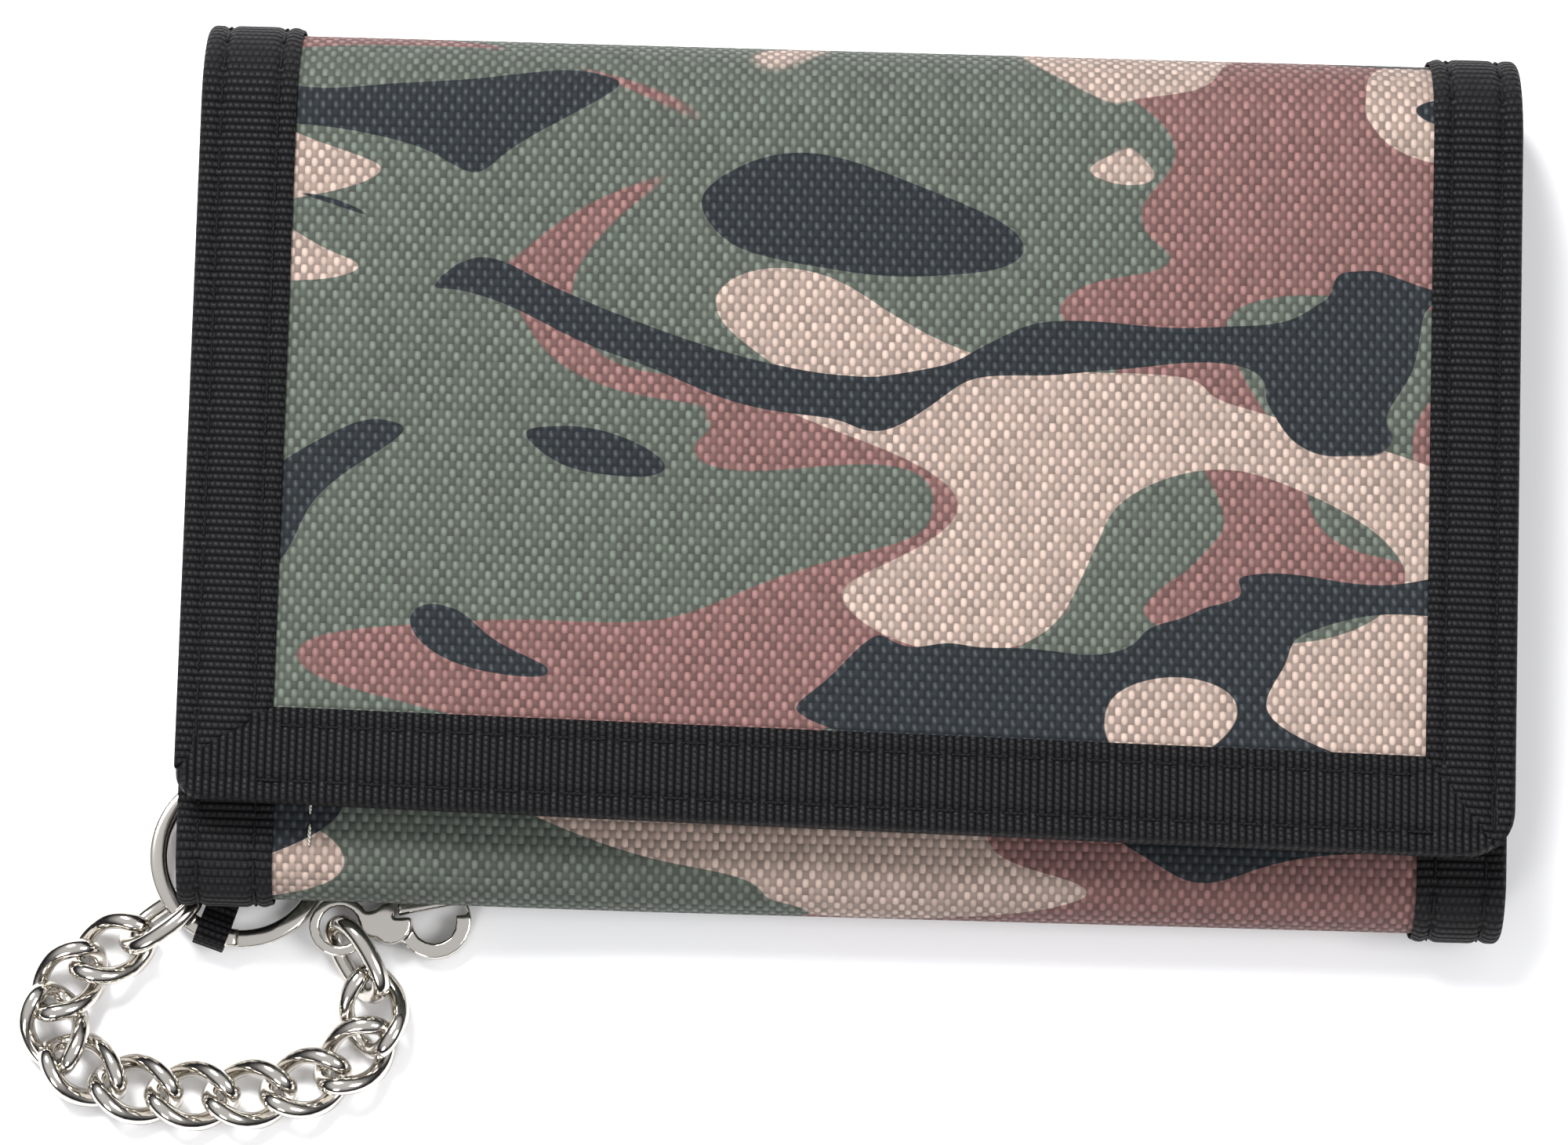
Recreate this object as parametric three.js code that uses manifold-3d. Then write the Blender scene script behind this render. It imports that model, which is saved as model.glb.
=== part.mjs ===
// Trifold wallet of printed woven cloth, closed and lying on its back, with a split ring and a curb chain.
// Millimetres. +X runs along the folds to the right, +Y towards the top fold, +Z out of the front.
// The origin is under the middle of the wallet, on the surface that it lies on.
import * as THREE from 'three';
import { mergeVertices } from 'three/addons/utils/BufferGeometryUtils.js';
import Module from 'manifold-3d';

const wasm = await Module();
wasm.setup();

// ---- driving dimensions ----
const WIDTH = 125; // along the folds
const HEIGHT = 84.5; // from fold to fold
const TAPE = 0.5; // binding tape
const SHELL = 0.8; // printed outer cloth
const LINING = 0.6; // black inner cloth
const GAP = 0.3; // air left between pieces that touch
const NOTE_GAP = 1.0; // room for notes between outer cloth and lining
const BOTTOM_FOLD_R = 6.1; // outside of the bottom fold
const TOP_FOLD_R = 9.25; // outside of the top fold
const BINDING_WIDTH = 9;
const INNER_END_Y = 37; // free end of the inner panel
const FLAP_END_Y = -33.95; // free end of the flap, at its middle
const FLAP_SKEW = -0.0176; // the flap hangs a little askew
const TOE = 35; // degrees of each fold that belong to the panel beside it
const FOLD_HALF = 50; // degrees each way of a fold's own piece

// ---- worked-out dimensions ----
const EDGE = WIDTH / 2;
const THICKNESS = 2 * TOP_FOLD_R;
const COVER = SHELL / 2 + GAP + TAPE; // from the cloth's middle out to the tape's face
const BOTTOM_FOLD = { y: -HEIGHT / 2 + BOTTOM_FOLD_R, z: BOTTOM_FOLD_R, r: BOTTOM_FOLD_R - COVER };
const TOP_FOLD = { y: HEIGHT / 2 - TOP_FOLD_R, z: TOP_FOLD_R, r: TOP_FOLD_R - COVER };
const LINING_IN = -SHELL / 2 - NOTE_GAP - LINING; // inner face of the lining, from the cloth's middle
const LINING_OUT = LINING_IN + LINING;
const BINDING_IN = LINING_IN - GAP - TAPE; // inner face of a binding that holds cloth and lining
const CLOTH_END = TAPE + GAP; // the cloth ends inside its binding
const CLOTH_EDGE = EDGE - CLOTH_END;
const LINING_RIGHT = 50; // the note compartment's mouth: the lining stops short of the right edge

// the corner that lies on the ring and the chain is lifted
const LIFT = 4.2;
const LIFT_FLAT = 8;
const LIFT_REACH = 40;

// hardware
const RING = { x: -57.3, y: -37, z: 1.95, inner: 7, outer: 8.7, height: 1.6, tilt: 7.3, towards: 222 };
const TAB_TOWARDS = 252;
const LINK = { wire: 1.4, halfLength: 3.8, halfWidth: 2.6, twist: 60, lie: 2.2 };
const CLASP = { x: -47.6, y: -43.4, turn: 5, eyeZ: 2.85, eyeThick: 1.2 };

// ---- materials ----
const cloth = () => new THREE.MeshStandardMaterial({ color: 0x8a7d70, roughness: 0.85, metalness: 0 });
const tape = () => new THREE.MeshStandardMaterial({ color: 0x1f1f22, roughness: 0.7, metalness: 0 });
const lining = () => new THREE.MeshStandardMaterial({ color: 0x17181a, roughness: 0.8, metalness: 0 });
const nickel = () => new THREE.MeshStandardMaterial({ color: 0xc9c4b8, roughness: 0.25, metalness: 1 });
const vinyl = () => new THREE.MeshStandardMaterial({ color: 0xd9dde0, roughness: 0.15, metalness: 0 });
const plastic = () => new THREE.MeshStandardMaterial({ color: 0x202022, roughness: 0.45, metalness: 0 });

const wallet = new THREE.Group();

function add(name, geometry, material) {
  const mesh = new THREE.Mesh(geometry, material);
  mesh.name = name;
  wallet.add(mesh);
  return mesh;
}

// ---- solids ----
function toSolid(geometry) {
  const bare = geometry.clone();
  bare.deleteAttribute('normal');
  bare.deleteAttribute('uv');
  const merged = mergeVertices(bare, 1e-4);
  return new wasm.Manifold(new wasm.Mesh({
    numProp: 3,
    vertProperties: new Float32Array(merged.attributes.position.array),
    triVerts: new Uint32Array(merged.index.array),
  }));
}

function toGeometry(solid) {
  const mesh = solid.getMesh();
  const geometry = new THREE.BufferGeometry();
  geometry.setAttribute('position', new THREE.BufferAttribute(new Float32Array(mesh.vertProperties), 3));
  geometry.setIndex(new THREE.BufferAttribute(new Uint32Array(mesh.triVerts), 1));
  return geometry;
}

function joined(...geometries) {
  return toGeometry(geometries.map(toSolid).reduce((a, b) => a.add(b)));
}

function cut(geometry, ...tools) {
  return toGeometry(tools.map(toSolid).reduce((a, b) => a.subtract(b), toSolid(geometry)));
}

// ---- the lie of the cloth ----
function lift(x, y) {
  const away = Math.hypot(x + EDGE, y + HEIGHT / 2);
  const t = Math.min(Math.max((away - LIFT_FLAT) / LIFT_REACH, 0), 1);
  return LIFT * (0.5 + 0.5 * Math.cos(Math.PI * t));
}

function skew(x, y) {
  const t = Math.min(Math.max((TOP_FOLD.y - y) / (TOP_FOLD.y - FLAP_END_Y), 0), 1.05);
  return FLAP_SKEW * x * t;
}

function lay(geometry, onFlap) {
  const p = geometry.attributes.position;
  for (let i = 0; i < p.count; i += 1) {
    const [x, y, z] = [p.getX(i), p.getY(i), p.getZ(i)];
    const moved = onFlap ? y + skew(x, y) : y;
    p.setY(i, moved);
    p.setZ(i, z + lift(x, moved) * (1 - z / THICKNESS));
  }
}

// ---- lines in the YZ plane: points with their outward normals ----
function arc(fold, from, to, pieces = 5) {
  return Array.from({ length: pieces + 1 }, (_, i) => {
    const angle = THREE.MathUtils.degToRad(from + ((to - from) * i) / pieces);
    const n = new THREE.Vector2(Math.cos(angle), Math.sin(angle));
    return { p: new THREE.Vector2(fold.y + fold.r * n.x, fold.z + fold.r * n.y), n };
  });
}

function flat(z, up, from, to) {
  const stops = [-28, -20, -12, -3, 10];
  const ordered = from < to ? stops : stops.reverse();
  const inside = ordered.filter((y) => (y - from) * (y - to) < 0 && Math.abs(y - to) > 2);
  return [...inside, to].map((y) => ({ p: new THREE.Vector2(y, z), n: new THREE.Vector2(0, up) }));
}

const BACK_Z = COVER;
const FLAP_Z = THICKNESS - COVER;
const INNER_Z = 2 * BOTTOM_FOLD_R - COVER;

const backLine = [
  ...arc(BOTTOM_FOLD, -90 - TOE, -90, 3),
  ...flat(BACK_Z, -1, BOTTOM_FOLD.y, TOP_FOLD.y),
  ...arc(TOP_FOLD, -90, -90 + TOE, 3).slice(1),
];
const topFoldLine = arc(TOP_FOLD, -FOLD_HALF, FOLD_HALF, 8);
const bottomFoldLine = arc(BOTTOM_FOLD, 180 - FOLD_HALF, 180 + FOLD_HALF, 8);
function flapLine(end) {
  const line = [...arc(TOP_FOLD, 90 - TOE, 90, 3), ...flat(FLAP_Z, 1, TOP_FOLD.y, end)];
  line.onFlap = true;
  return line;
}
const innerLine = (end) => [...arc(BOTTOM_FOLD, 90 + TOE, 90, 3), ...flat(INNER_Z, 1, BOTTOM_FOLD.y, end)];

// an outline in the YZ plane drawn out along X, and lying as the wallet lies
function across(outline, x0, x1, steps, onFlap) {
  const geometry = new THREE.ExtrudeGeometry(outline, { depth: 1, steps, bevelEnabled: false });
  const p = geometry.attributes.position;
  for (let i = 0; i < p.count; i += 1) {
    const [y, z, t] = [p.getX(i), p.getY(i), p.getZ(i)];
    // the steps are closer together at the left, where the cloth is lifted
    const along = steps > 1 ? t ** 1.5 : t;
    p.setXYZ(i, x0 + (x1 - x0) * along, y, z);
  }
  lay(geometry, onFlap);
  return geometry;
}

// a band of cloth between two offsets from a line, running from x0 to x1
function band(line, near, far, x0, x1, steps = 1) {
  const side = (d) => line.map(({ p, n }) => p.clone().addScaledVector(n, d));
  const outline = new THREE.Shape([...side(near), ...side(far).reverse()]);
  return across(outline, x0, x1, steps, line.onFlap);
}

const ACROSS = 8;

function shellOf(line) {
  return band(line, -SHELL / 2, SHELL / 2, -CLOTH_EDGE, CLOTH_EDGE, ACROSS);
}

function liningOf(line) {
  return band(line, LINING_IN, LINING_OUT, -CLOTH_EDGE, LINING_RIGHT - CLOTH_END, ACROSS);
}

// tape folded over an edge that runs along a line: its back is at x0 and its two lips end at x1
function channel(line, near, far, x0, x1, thick = TAPE) {
  const back = x0 + Math.sign(x1 - x0) * thick;
  const section = [
    [x0, near], [x1, near], [x1, near + thick], [back, near + thick],
    [back, far - thick], [x1, far - thick], [x1, far], [x0, far],
  ];
  const positions = line.flatMap(({ p, n }) => section.flatMap(([x, d]) => [x, p.x + n.x * d, p.y + n.y * d]));
  const index = [];
  const quad = (a, b, c, d) => index.push(a, b, c, a, c, d);
  const last = 8 * (line.length - 1);
  for (let i = 0; i < last; i += 8) {
    for (let k = 0; k < 8; k += 1) {
      const next = (k + 1) % 8;
      quad(i + k, i + next, i + next + 8, i + k + 8);
    }
  }
  [[3, 2, 1, 0], [7, 4, 3, 0], [6, 5, 4, 7]].forEach((cap) => {
    quad(...cap);
    quad(...cap.reverse().map((k) => last + k));
  });
  const geometry = new THREE.BufferGeometry();
  geometry.setAttribute('position', new THREE.Float32BufferAttribute(positions, 3));
  geometry.setIndex(index);
  lay(geometry, line.onFlap);
  return facingOut(geometry);
}

// turns a closed mesh the right way round
function facingOut(geometry) {
  const p = geometry.attributes.position;
  const index = geometry.index.array;
  const corner = (i) => new THREE.Vector3().fromBufferAttribute(p, index[i]);
  let volume = 0;
  for (let i = 0; i < index.length; i += 3) {
    volume += corner(i).cross(corner(i + 1)).dot(corner(i + 2));
  }
  if (volume < 0) {
    geometry.setIndex(Array.from(index).reverse());
  }
  return geometry;
}

function leftBindingOf(line) {
  return channel(line, BINDING_IN, COVER, -EDGE, -EDGE + BINDING_WIDTH);
}

function rightBindingOf(line) {
  return channel(line, -COVER, COVER, EDGE, EDGE - BINDING_WIDTH);
}

function mouthBindingOf(line) {
  const thin = 0.4;
  const near = LINING_IN - GAP + 0.05 - thin;
  const far = LINING_OUT + GAP - 0.05 + thin;
  return channel(line, near, far, LINING_RIGHT, LINING_RIGHT - 8, thin);
}

// tape folded over the free end of a panel, between the two side bindings
function endBinding(z, end, inwards, onFlap) {
  const side = EDGE - BINDING_WIDTH - GAP;
  const [inner, outer] = [z + BINDING_IN, z + COVER];
  const lip = end + inwards * (BINDING_WIDTH - 0.4);
  const back = end + inwards * TAPE;
  const outline = new THREE.Shape([
    [end, inner], [lip, inner], [lip, inner + TAPE], [back, inner + TAPE],
    [back, outer - TAPE], [lip, outer - TAPE], [lip, outer], [end, outer],
  ].map(([y, height]) => new THREE.Vector2(y, height)));
  return across(outline, -side, side, ACROSS, onFlap);
}

// a plain rectangular layer
function layer(x0, x1, y0, y1, z0, z1, onFlap = false, steps = ACROSS) {
  const stops = [y0, ...[-20, -8, 8].filter((y) => y > y0 + 2 && y < y1 - 2), y1];
  const line = stops.map((y) => ({ p: new THREE.Vector2(y, 0), n: new THREE.Vector2(0, 1) }));
  line.onFlap = onFlap;
  return band(line, z0, z1, x0, x1, steps);
}

// ---- the back panel ----
add('back_shell', shellOf(backLine), cloth());
add('back_lining', liningOf(backLine), lining());
add('back_binding_left', leftBindingOf(backLine), tape());
add('back_binding_right', rightBindingOf(backLine), tape());
add('back_mouth_binding', mouthBindingOf(backLine), tape());

const ID = { x0: -52.5, x1: 40.5, y0: -29, y1: 29, border: 6 };

// a flat rectangular frame: a strip that goes round four sides, in steps
function idWindowFrame(z0, z1) {
  const { x0, x1, y0, y1, border } = ID;
  const corners = (d) => [[x0 + d, y0 + d], [x1 - d, y0 + d], [x1 - d, y1 - d], [x0 + d, y1 - d]];
  const [outer, inner] = [corners(0), corners(border)];
  const steps = 4;
  const positions = [];
  const index = [];
  for (let i = 0; i < 4 * steps; i += 1) {
    const side = Math.floor(i / steps);
    const t = (i % steps) / steps;
    const at = (c) => c[side].map((v, k) => v + (c[(side + 1) % 4][k] - v) * t);
    positions.push(...at(outer), z0, ...at(inner), z0, ...at(inner), z1, ...at(outer), z1);
    const next = (i + 1) % (4 * steps);
    for (let k = 0; k < 4; k += 1) {
      const [a, b] = [4 * i + k, 4 * i + ((k + 1) % 4)];
      const [c, d] = [4 * next + ((k + 1) % 4), 4 * next + k];
      index.push(a, b, c, a, c, d);
    }
  }
  const geometry = new THREE.BufferGeometry();
  geometry.setAttribute('position', new THREE.Float32BufferAttribute(positions, 3));
  geometry.setIndex(index);
  lay(geometry);
  return geometry;
}

const BACK_TOP = BACK_Z - LINING_IN; // the lining's inside face
const WINDOW_Z = BACK_TOP + GAP;
const PANE = [ID.x0 + 2, ID.x1 - 2, ID.y0 + 2, ID.y1 - 2];
add('id_window', layer(...PANE, WINDOW_Z, WINDOW_Z + 0.3, false, 5), vinyl());
add('id_window_frame', idWindowFrame(WINDOW_Z + 0.6, WINDOW_Z + 1.2), tape());

// ---- the top fold ----
add('top_fold_shell', shellOf(topFoldLine), cloth());
add('top_fold_lining', liningOf(topFoldLine), lining());
add('top_fold_binding_left', leftBindingOf(topFoldLine), tape());
add('top_fold_binding_right', rightBindingOf(topFoldLine), tape());

// ---- the flap ----
const flapCloth = flapLine(FLAP_END_Y + CLOTH_END);
const flapEdge = flapLine(FLAP_END_Y);
add('flap_shell', shellOf(flapCloth), cloth());
add('flap_lining', liningOf(flapCloth), lining());
add('flap_binding_left', leftBindingOf(flapEdge), tape());
add('flap_binding_right', rightBindingOf(flapEdge), tape());
add('flap_mouth_binding', mouthBindingOf(flapLine(FLAP_END_Y + BINDING_WIDTH)), tape());
add('flap_binding_end', endBinding(FLAP_Z, FLAP_END_Y, 1, true), tape());

const FLAP_INSIDE = FLAP_Z + LINING_IN;
const LOOP_TOP = INNER_Z + SHELL / 2 + GAP + 0.9;
const STRIP = { x0: -44, x1: 38, y0: -23.5, y1: -7.5 };
const HOOK_TOP = FLAP_INSIDE - GAP;
add('hook_strip', layer(STRIP.x0, STRIP.x1, STRIP.y0, STRIP.y1, LOOP_TOP + GAP, HOOK_TOP, true), plastic());

// ---- the coin pocket on the inside of the flap ----
const COIN = { x0: -50, x1: 40, y0: -3, y1: 30, wall: 0.6, front: 13.9 };
const ZIP = { x0: -44, x1: 34, y: 23.5, half: 3, slider: 22 };

function coinPocket() {
  const top = FLAP_INSIDE - GAP;
  const { wall, front } = COIN;
  const body = layer(COIN.x0, COIN.x1, COIN.y0, COIN.y1, front, top, true);
  const [x0, x1] = [COIN.x0 + wall, COIN.x1 - wall];
  const room = layer(x0, x1, COIN.y0 + wall, COIN.y1 - wall, front + 0.5, top + 1, true);
  const slot = layer(ZIP.x0, ZIP.x1, ZIP.y - ZIP.half, ZIP.y + ZIP.half, front - 1, front + 1, true);
  return cut(body, room, slot);
}

function zipTape(side) {
  const inner = ZIP.y + side * 1.5;
  const outer = ZIP.y + side * (ZIP.half - GAP);
  const [y0, y1] = [Math.min(inner, outer), Math.max(inner, outer)];
  return layer(ZIP.x0 + GAP, ZIP.x1 - GAP, y0, y1, COIN.front + 0.05, COIN.front + 0.45, true);
}

// the closed teeth: a strip with a notch between each tooth and the next, on both sides
function zipTeeth() {
  const outline = new THREE.Shape();
  const [start, end, pitch] = [ZIP.x0 + 1.5, ZIP.x1 - 1.5, 2.5];
  const count = Math.floor((end - start) / pitch);
  const points = [];
  for (let i = 0; i < count; i += 1) {
    const x = start + i * pitch;
    points.push([x, 1.15], [x + pitch * 0.6, 1.15], [x + pitch * 0.6, 0.75], [x + pitch, 0.75]);
  }
  const lower = points.map(([x, y]) => [2 * start + count * pitch - x, -y]);
  outline.setFromPoints([...points, ...lower].map(([x, y]) => new THREE.Vector2(x, y)));
  const geometry = new THREE.ExtrudeGeometry(outline, { depth: 1.1, bevelEnabled: false });
  geometry.translate(0, ZIP.y, COIN.front - 0.35);
  return geometry;
}

function zipSlider() {
  const outline = new THREE.Shape([
    [-3.3, -1.35], [3.3, -1.35], [3.3, -0.35], [2.7, -0.35],
    [2.7, -0.75], [-2.7, -0.75], [-2.7, -0.35], [-3.3, -0.35],
  ].map(([y, z]) => new THREE.Vector2(y, z)));
  const geometry = new THREE.ExtrudeGeometry(outline, { depth: 8, bevelEnabled: false });
  geometry.rotateX(Math.PI / 2);
  geometry.rotateZ(Math.PI / 2);
  geometry.translate(ZIP.slider, ZIP.y, COIN.front);
  return geometry;
}

function zipPull() {
  const outline = new THREE.Shape();
  outline.absarc(-10, 0, 2.4, Math.PI / 2, (3 * Math.PI) / 2, false);
  outline.lineTo(0, -2);
  outline.lineTo(0, 2);
  const hole = new THREE.Path();
  hole.absarc(-9.8, 0, 1.2, 0, 2 * Math.PI, true);
  outline.holes.push(hole);
  const geometry = new THREE.ExtrudeGeometry(outline, { depth: 0.6, bevelEnabled: false, curveSegments: 6 });
  geometry.translate(ZIP.slider - GAP, ZIP.y, COIN.front - 1.35);
  return geometry;
}

add('coin_pocket', coinPocket(), lining());
add('zip_tape_upper', zipTape(1), tape());
add('zip_tape_lower', zipTape(-1), tape());
add('zip_teeth', zipTeeth(), nickel());
add('zip_slider', zipSlider(), nickel());
add('zip_pull', zipPull(), nickel());

// ---- the bottom fold ----
add('bottom_fold_shell', shellOf(bottomFoldLine), cloth());
add('bottom_fold_lining', liningOf(bottomFoldLine), lining());
add('bottom_fold_binding_left', leftBindingOf(bottomFoldLine), tape());
add('bottom_fold_binding_right', rightBindingOf(bottomFoldLine), tape());

// ---- the inner panel ----
const innerCloth = innerLine(INNER_END_Y - CLOTH_END);
const innerEdge = innerLine(INNER_END_Y);
add('inner_shell', shellOf(innerCloth), cloth());
add('inner_lining', liningOf(innerCloth), lining());
add('inner_binding_left', leftBindingOf(innerEdge), tape());
add('inner_binding_right', rightBindingOf(innerEdge), tape());
add('inner_mouth_binding', mouthBindingOf(innerLine(INNER_END_Y - BINDING_WIDTH)), tape());
add('inner_binding_end', endBinding(INNER_Z, INNER_END_Y, -1, false), tape());
const loopZ = INNER_Z + SHELL / 2 + GAP;
add('loop_strip', layer(STRIP.x0, STRIP.x1, STRIP.y0, STRIP.y1, loopZ, LOOP_TOP), plastic());

const INNER_INSIDE = INNER_Z + LINING_IN;
const POCKET = 0.6;
for (let i = 0; i < 3; i += 1) {
  const top = INNER_INSIDE - 0.4 - i * 1.1;
  add(`card_pocket_${i + 1}`, layer(ID.x0, ID.x1, -31, 27 - 10 * i, top - POCKET, top), lining());
}

// ---- the split ring and its tab ----
const turn = THREE.MathUtils.degToRad;

function splitRing() {
  const [a, b, h] = [RING.inner, RING.outer, RING.height / 2];
  const c = 0.4;
  const profile = [
    [a, -h + c], [a + c, -h], [b - c, -h], [b, -h + c],
    [b, h - c], [b - c, h], [a + c, h], [a, h - c], [a, -h + c],
  ].map(([r, y]) => new THREE.Vector2(r, y));
  return new THREE.LatheGeometry(profile, 32);
}

function cornerTab() {
  const outline = new THREE.Shape([
    [2.2, 0.1], [6.2, 0.1], [6.2, -1.6], [9.4, -1.6], [9.4, 1.6], [6.2, 1.6], [6.2, 0.6], [2.2, 0.6],
  ].map(([r, z]) => new THREE.Vector2(r, z)));
  const eye = [[6.7, -1.1], [6.7, 1.1], [9, 1.1], [9, -1.1]];
  outline.holes.push(new THREE.Path(eye.map(([r, z]) => new THREE.Vector2(r, z))));
  const geometry = new THREE.ExtrudeGeometry(outline, { depth: 3, bevelEnabled: false });
  geometry.translate(0, 0, -1.5);
  geometry.rotateX(Math.PI / 2);
  return geometry;
}

// the ring's own plane: X points to where the chain starts, and rises that way
const ringPlane = new THREE.Group();
ringPlane.position.set(RING.x, RING.y, RING.z);
ringPlane.rotation.order = 'ZYX';
ringPlane.rotation.z = turn(RING.towards);
ringPlane.rotation.y = -turn(RING.tilt);
wallet.add(ringPlane);

const ring = new THREE.Mesh(splitRing(), nickel());
ring.name = 'split_ring';
ring.rotation.x = Math.PI / 2;
ringPlane.add(ring);

const tab = new THREE.Mesh(cornerTab(), tape());
tab.name = 'corner_tab';
tab.rotation.z = turn(TAB_TOWARDS - RING.towards);
ringPlane.add(tab);

// ---- the chain ----
// one link: an oval of wire, twisted along its length so that its two ends cross the next links squarely
function linkGeometry(twistFrom, twistTo) {
  const points = Array.from({ length: 16 }, (_, i) => {
    const angle = (i / 16) * 2 * Math.PI;
    const x = LINK.halfLength * Math.sign(Math.cos(angle)) * Math.abs(Math.cos(angle)) ** 0.9;
    const y = LINK.halfWidth * Math.sign(Math.sin(angle)) * Math.abs(Math.sin(angle)) ** 0.8;
    const t = (x / LINK.halfLength + 1) / 2;
    const roll = turn(twistFrom + (twistTo - twistFrom) * t);
    return new THREE.Vector3(x, y * Math.cos(roll), y * Math.sin(roll));
  });
  const path = new THREE.CatmullRomCurve3(points, true);
  return new THREE.TubeGeometry(path, 18, LINK.wire / 2, 6, true);
}

// the chain's route, from the ring round its loop to the clasp's eye
const ROUTE = [
  [-62.45, -41.65, 3.15],
  [-66.4, -44.6, 2.75],
  [-70.6, -46.6, LINK.lie],
  [-74.1, -49.4, LINK.lie],
  [-75.3, -53.3, LINK.lie],
  [-73.1, -57, LINK.lie],
  [-67.8, -59.2, LINK.lie],
  [-61.2, -59.8, LINK.lie],
  [-54.6, -59.5, LINK.lie],
  [-48.6, -57.9, LINK.lie],
  [-44.4, -54.9, LINK.lie],
  [-43.3, -51.3, 2.2],
  [-45.2, -47.6, 2.9],
  [-47.25, -44.2, 3.25],
];
const LINKS = 12;
const route = new THREE.CatmullRomCurve3(ROUTE.map((p) => new THREE.Vector3(...p)), false, 'centripetal');

for (let i = 0; i < LINKS; i += 1) {
  const middle = (i + 0.5) / LINKS;
  const from = route.getPointAt(Math.max(middle - 0.5 / LINKS, 0));
  const to = route.getPointAt(Math.min(middle + 0.5 / LINKS, 1));
  const along = to.clone().sub(from).normalize();
  const side = new THREE.Vector3(0, 0, 1).cross(along).normalize();
  const up = along.clone().cross(side);
  const first = i === 0;
  const last = i === LINKS - 1;
  const geometry = linkGeometry(first ? LINK.twist : -LINK.twist, last ? -LINK.twist : LINK.twist);
  geometry.applyMatrix4(new THREE.Matrix4().makeBasis(along, side, up));
  const at = from.clone().add(to).multiplyScalar(0.5);
  geometry.translate(at.x, at.y, at.z);
  add(`chain_link_${String(i + 1).padStart(2, '0')}`, geometry, nickel());
}

// ---- the clasp ----
const clasp = new THREE.Group();
clasp.position.set(CLASP.x, CLASP.y, 0);
clasp.rotation.z = turn(CLASP.turn);
wallet.add(clasp);

function addToClasp(name, geometry, material = nickel()) {
  const mesh = new THREE.Mesh(geometry, material);
  mesh.name = name;
  clasp.add(mesh);
}

function plate(points, z0, z1, holes = []) {
  const outline = new THREE.Shape(points.map(([x, y]) => new THREE.Vector2(x, y)));
  holes.forEach((hole) => outline.holes.push(hole));
  const geometry = new THREE.ExtrudeGeometry(outline, { depth: z1 - z0, bevelEnabled: false, curveSegments: 6 });
  geometry.translate(0, 0, z0);
  return geometry;
}

function disc(x, y, r, z0, z1, sides = 16) {
  const geometry = new THREE.CylinderGeometry(r, r, z1 - z0, sides);
  geometry.rotateX(Math.PI / 2);
  geometry.translate(x, y, (z0 + z1) / 2);
  return geometry;
}

// the claw: an eye at the left, a shank, and a hook that curls round to meet the lever
function claspClaw() {
  const [z0, z1] = [CLASP.eyeZ - CLASP.eyeThick / 2, CLASP.eyeZ + CLASP.eyeThick / 2];
  const body = joined(
    disc(0, 0, 2.9, z0, z1, 20),
    plate([[1.2, -1.1], [4.4, -1.4], [4.4, 1.4], [1.2, 1.1]], z0, z1),
    disc(4.9, 0, 2, 0.5, z1, 16),
    disc(9, 0, 3.6, 0.5, 2.5, 20),
  );
  return cut(
    body,
    disc(0, 0, 1.9, 0, 5, 16),
    disc(9, 0, 2.1, 0, 5, 16),
    plate([[5.2, 0.45], [12.3, 0.45], [10.2, 4.2], [5.2, 4.2]], 0, 5),
  );
}

function claspLever() {
  return plate([[5.6, 0.75], [11.2, 1.5], [10.6, 2.4], [6.4, 2.6], [5.6, 2.2]], 0.8, 2.2);
}

addToClasp('clasp_claw', claspClaw());
addToClasp('clasp_lever', claspLever());

export default wallet;
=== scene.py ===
import math

import bmesh
import bpy
from mathutils import Matrix, Vector


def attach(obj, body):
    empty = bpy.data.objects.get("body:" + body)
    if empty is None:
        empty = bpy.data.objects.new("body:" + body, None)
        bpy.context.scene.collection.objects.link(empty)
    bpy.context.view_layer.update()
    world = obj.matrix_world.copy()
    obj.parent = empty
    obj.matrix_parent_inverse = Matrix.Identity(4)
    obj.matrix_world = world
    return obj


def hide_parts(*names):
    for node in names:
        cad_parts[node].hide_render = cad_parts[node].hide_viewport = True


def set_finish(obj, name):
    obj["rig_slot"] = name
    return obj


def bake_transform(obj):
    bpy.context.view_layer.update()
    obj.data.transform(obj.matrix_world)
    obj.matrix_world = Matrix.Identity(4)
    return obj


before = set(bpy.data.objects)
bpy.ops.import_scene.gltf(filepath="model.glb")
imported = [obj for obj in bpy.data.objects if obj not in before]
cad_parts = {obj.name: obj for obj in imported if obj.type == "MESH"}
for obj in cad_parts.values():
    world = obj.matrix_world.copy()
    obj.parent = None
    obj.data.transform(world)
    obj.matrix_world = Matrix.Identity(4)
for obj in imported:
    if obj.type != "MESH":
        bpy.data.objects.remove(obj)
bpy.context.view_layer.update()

bl_info = {
    "name": "Trifold wallet",
    "version": (1, 0, 0),
    "blender": (4, 5, 0),
    "location": "3D View > Sidebar > Wallet",
    "description": "A trifold wallet of printed cloth with bound edges and a short curb chain",
    "category": "Object",
}

MM = 0.001

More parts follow.
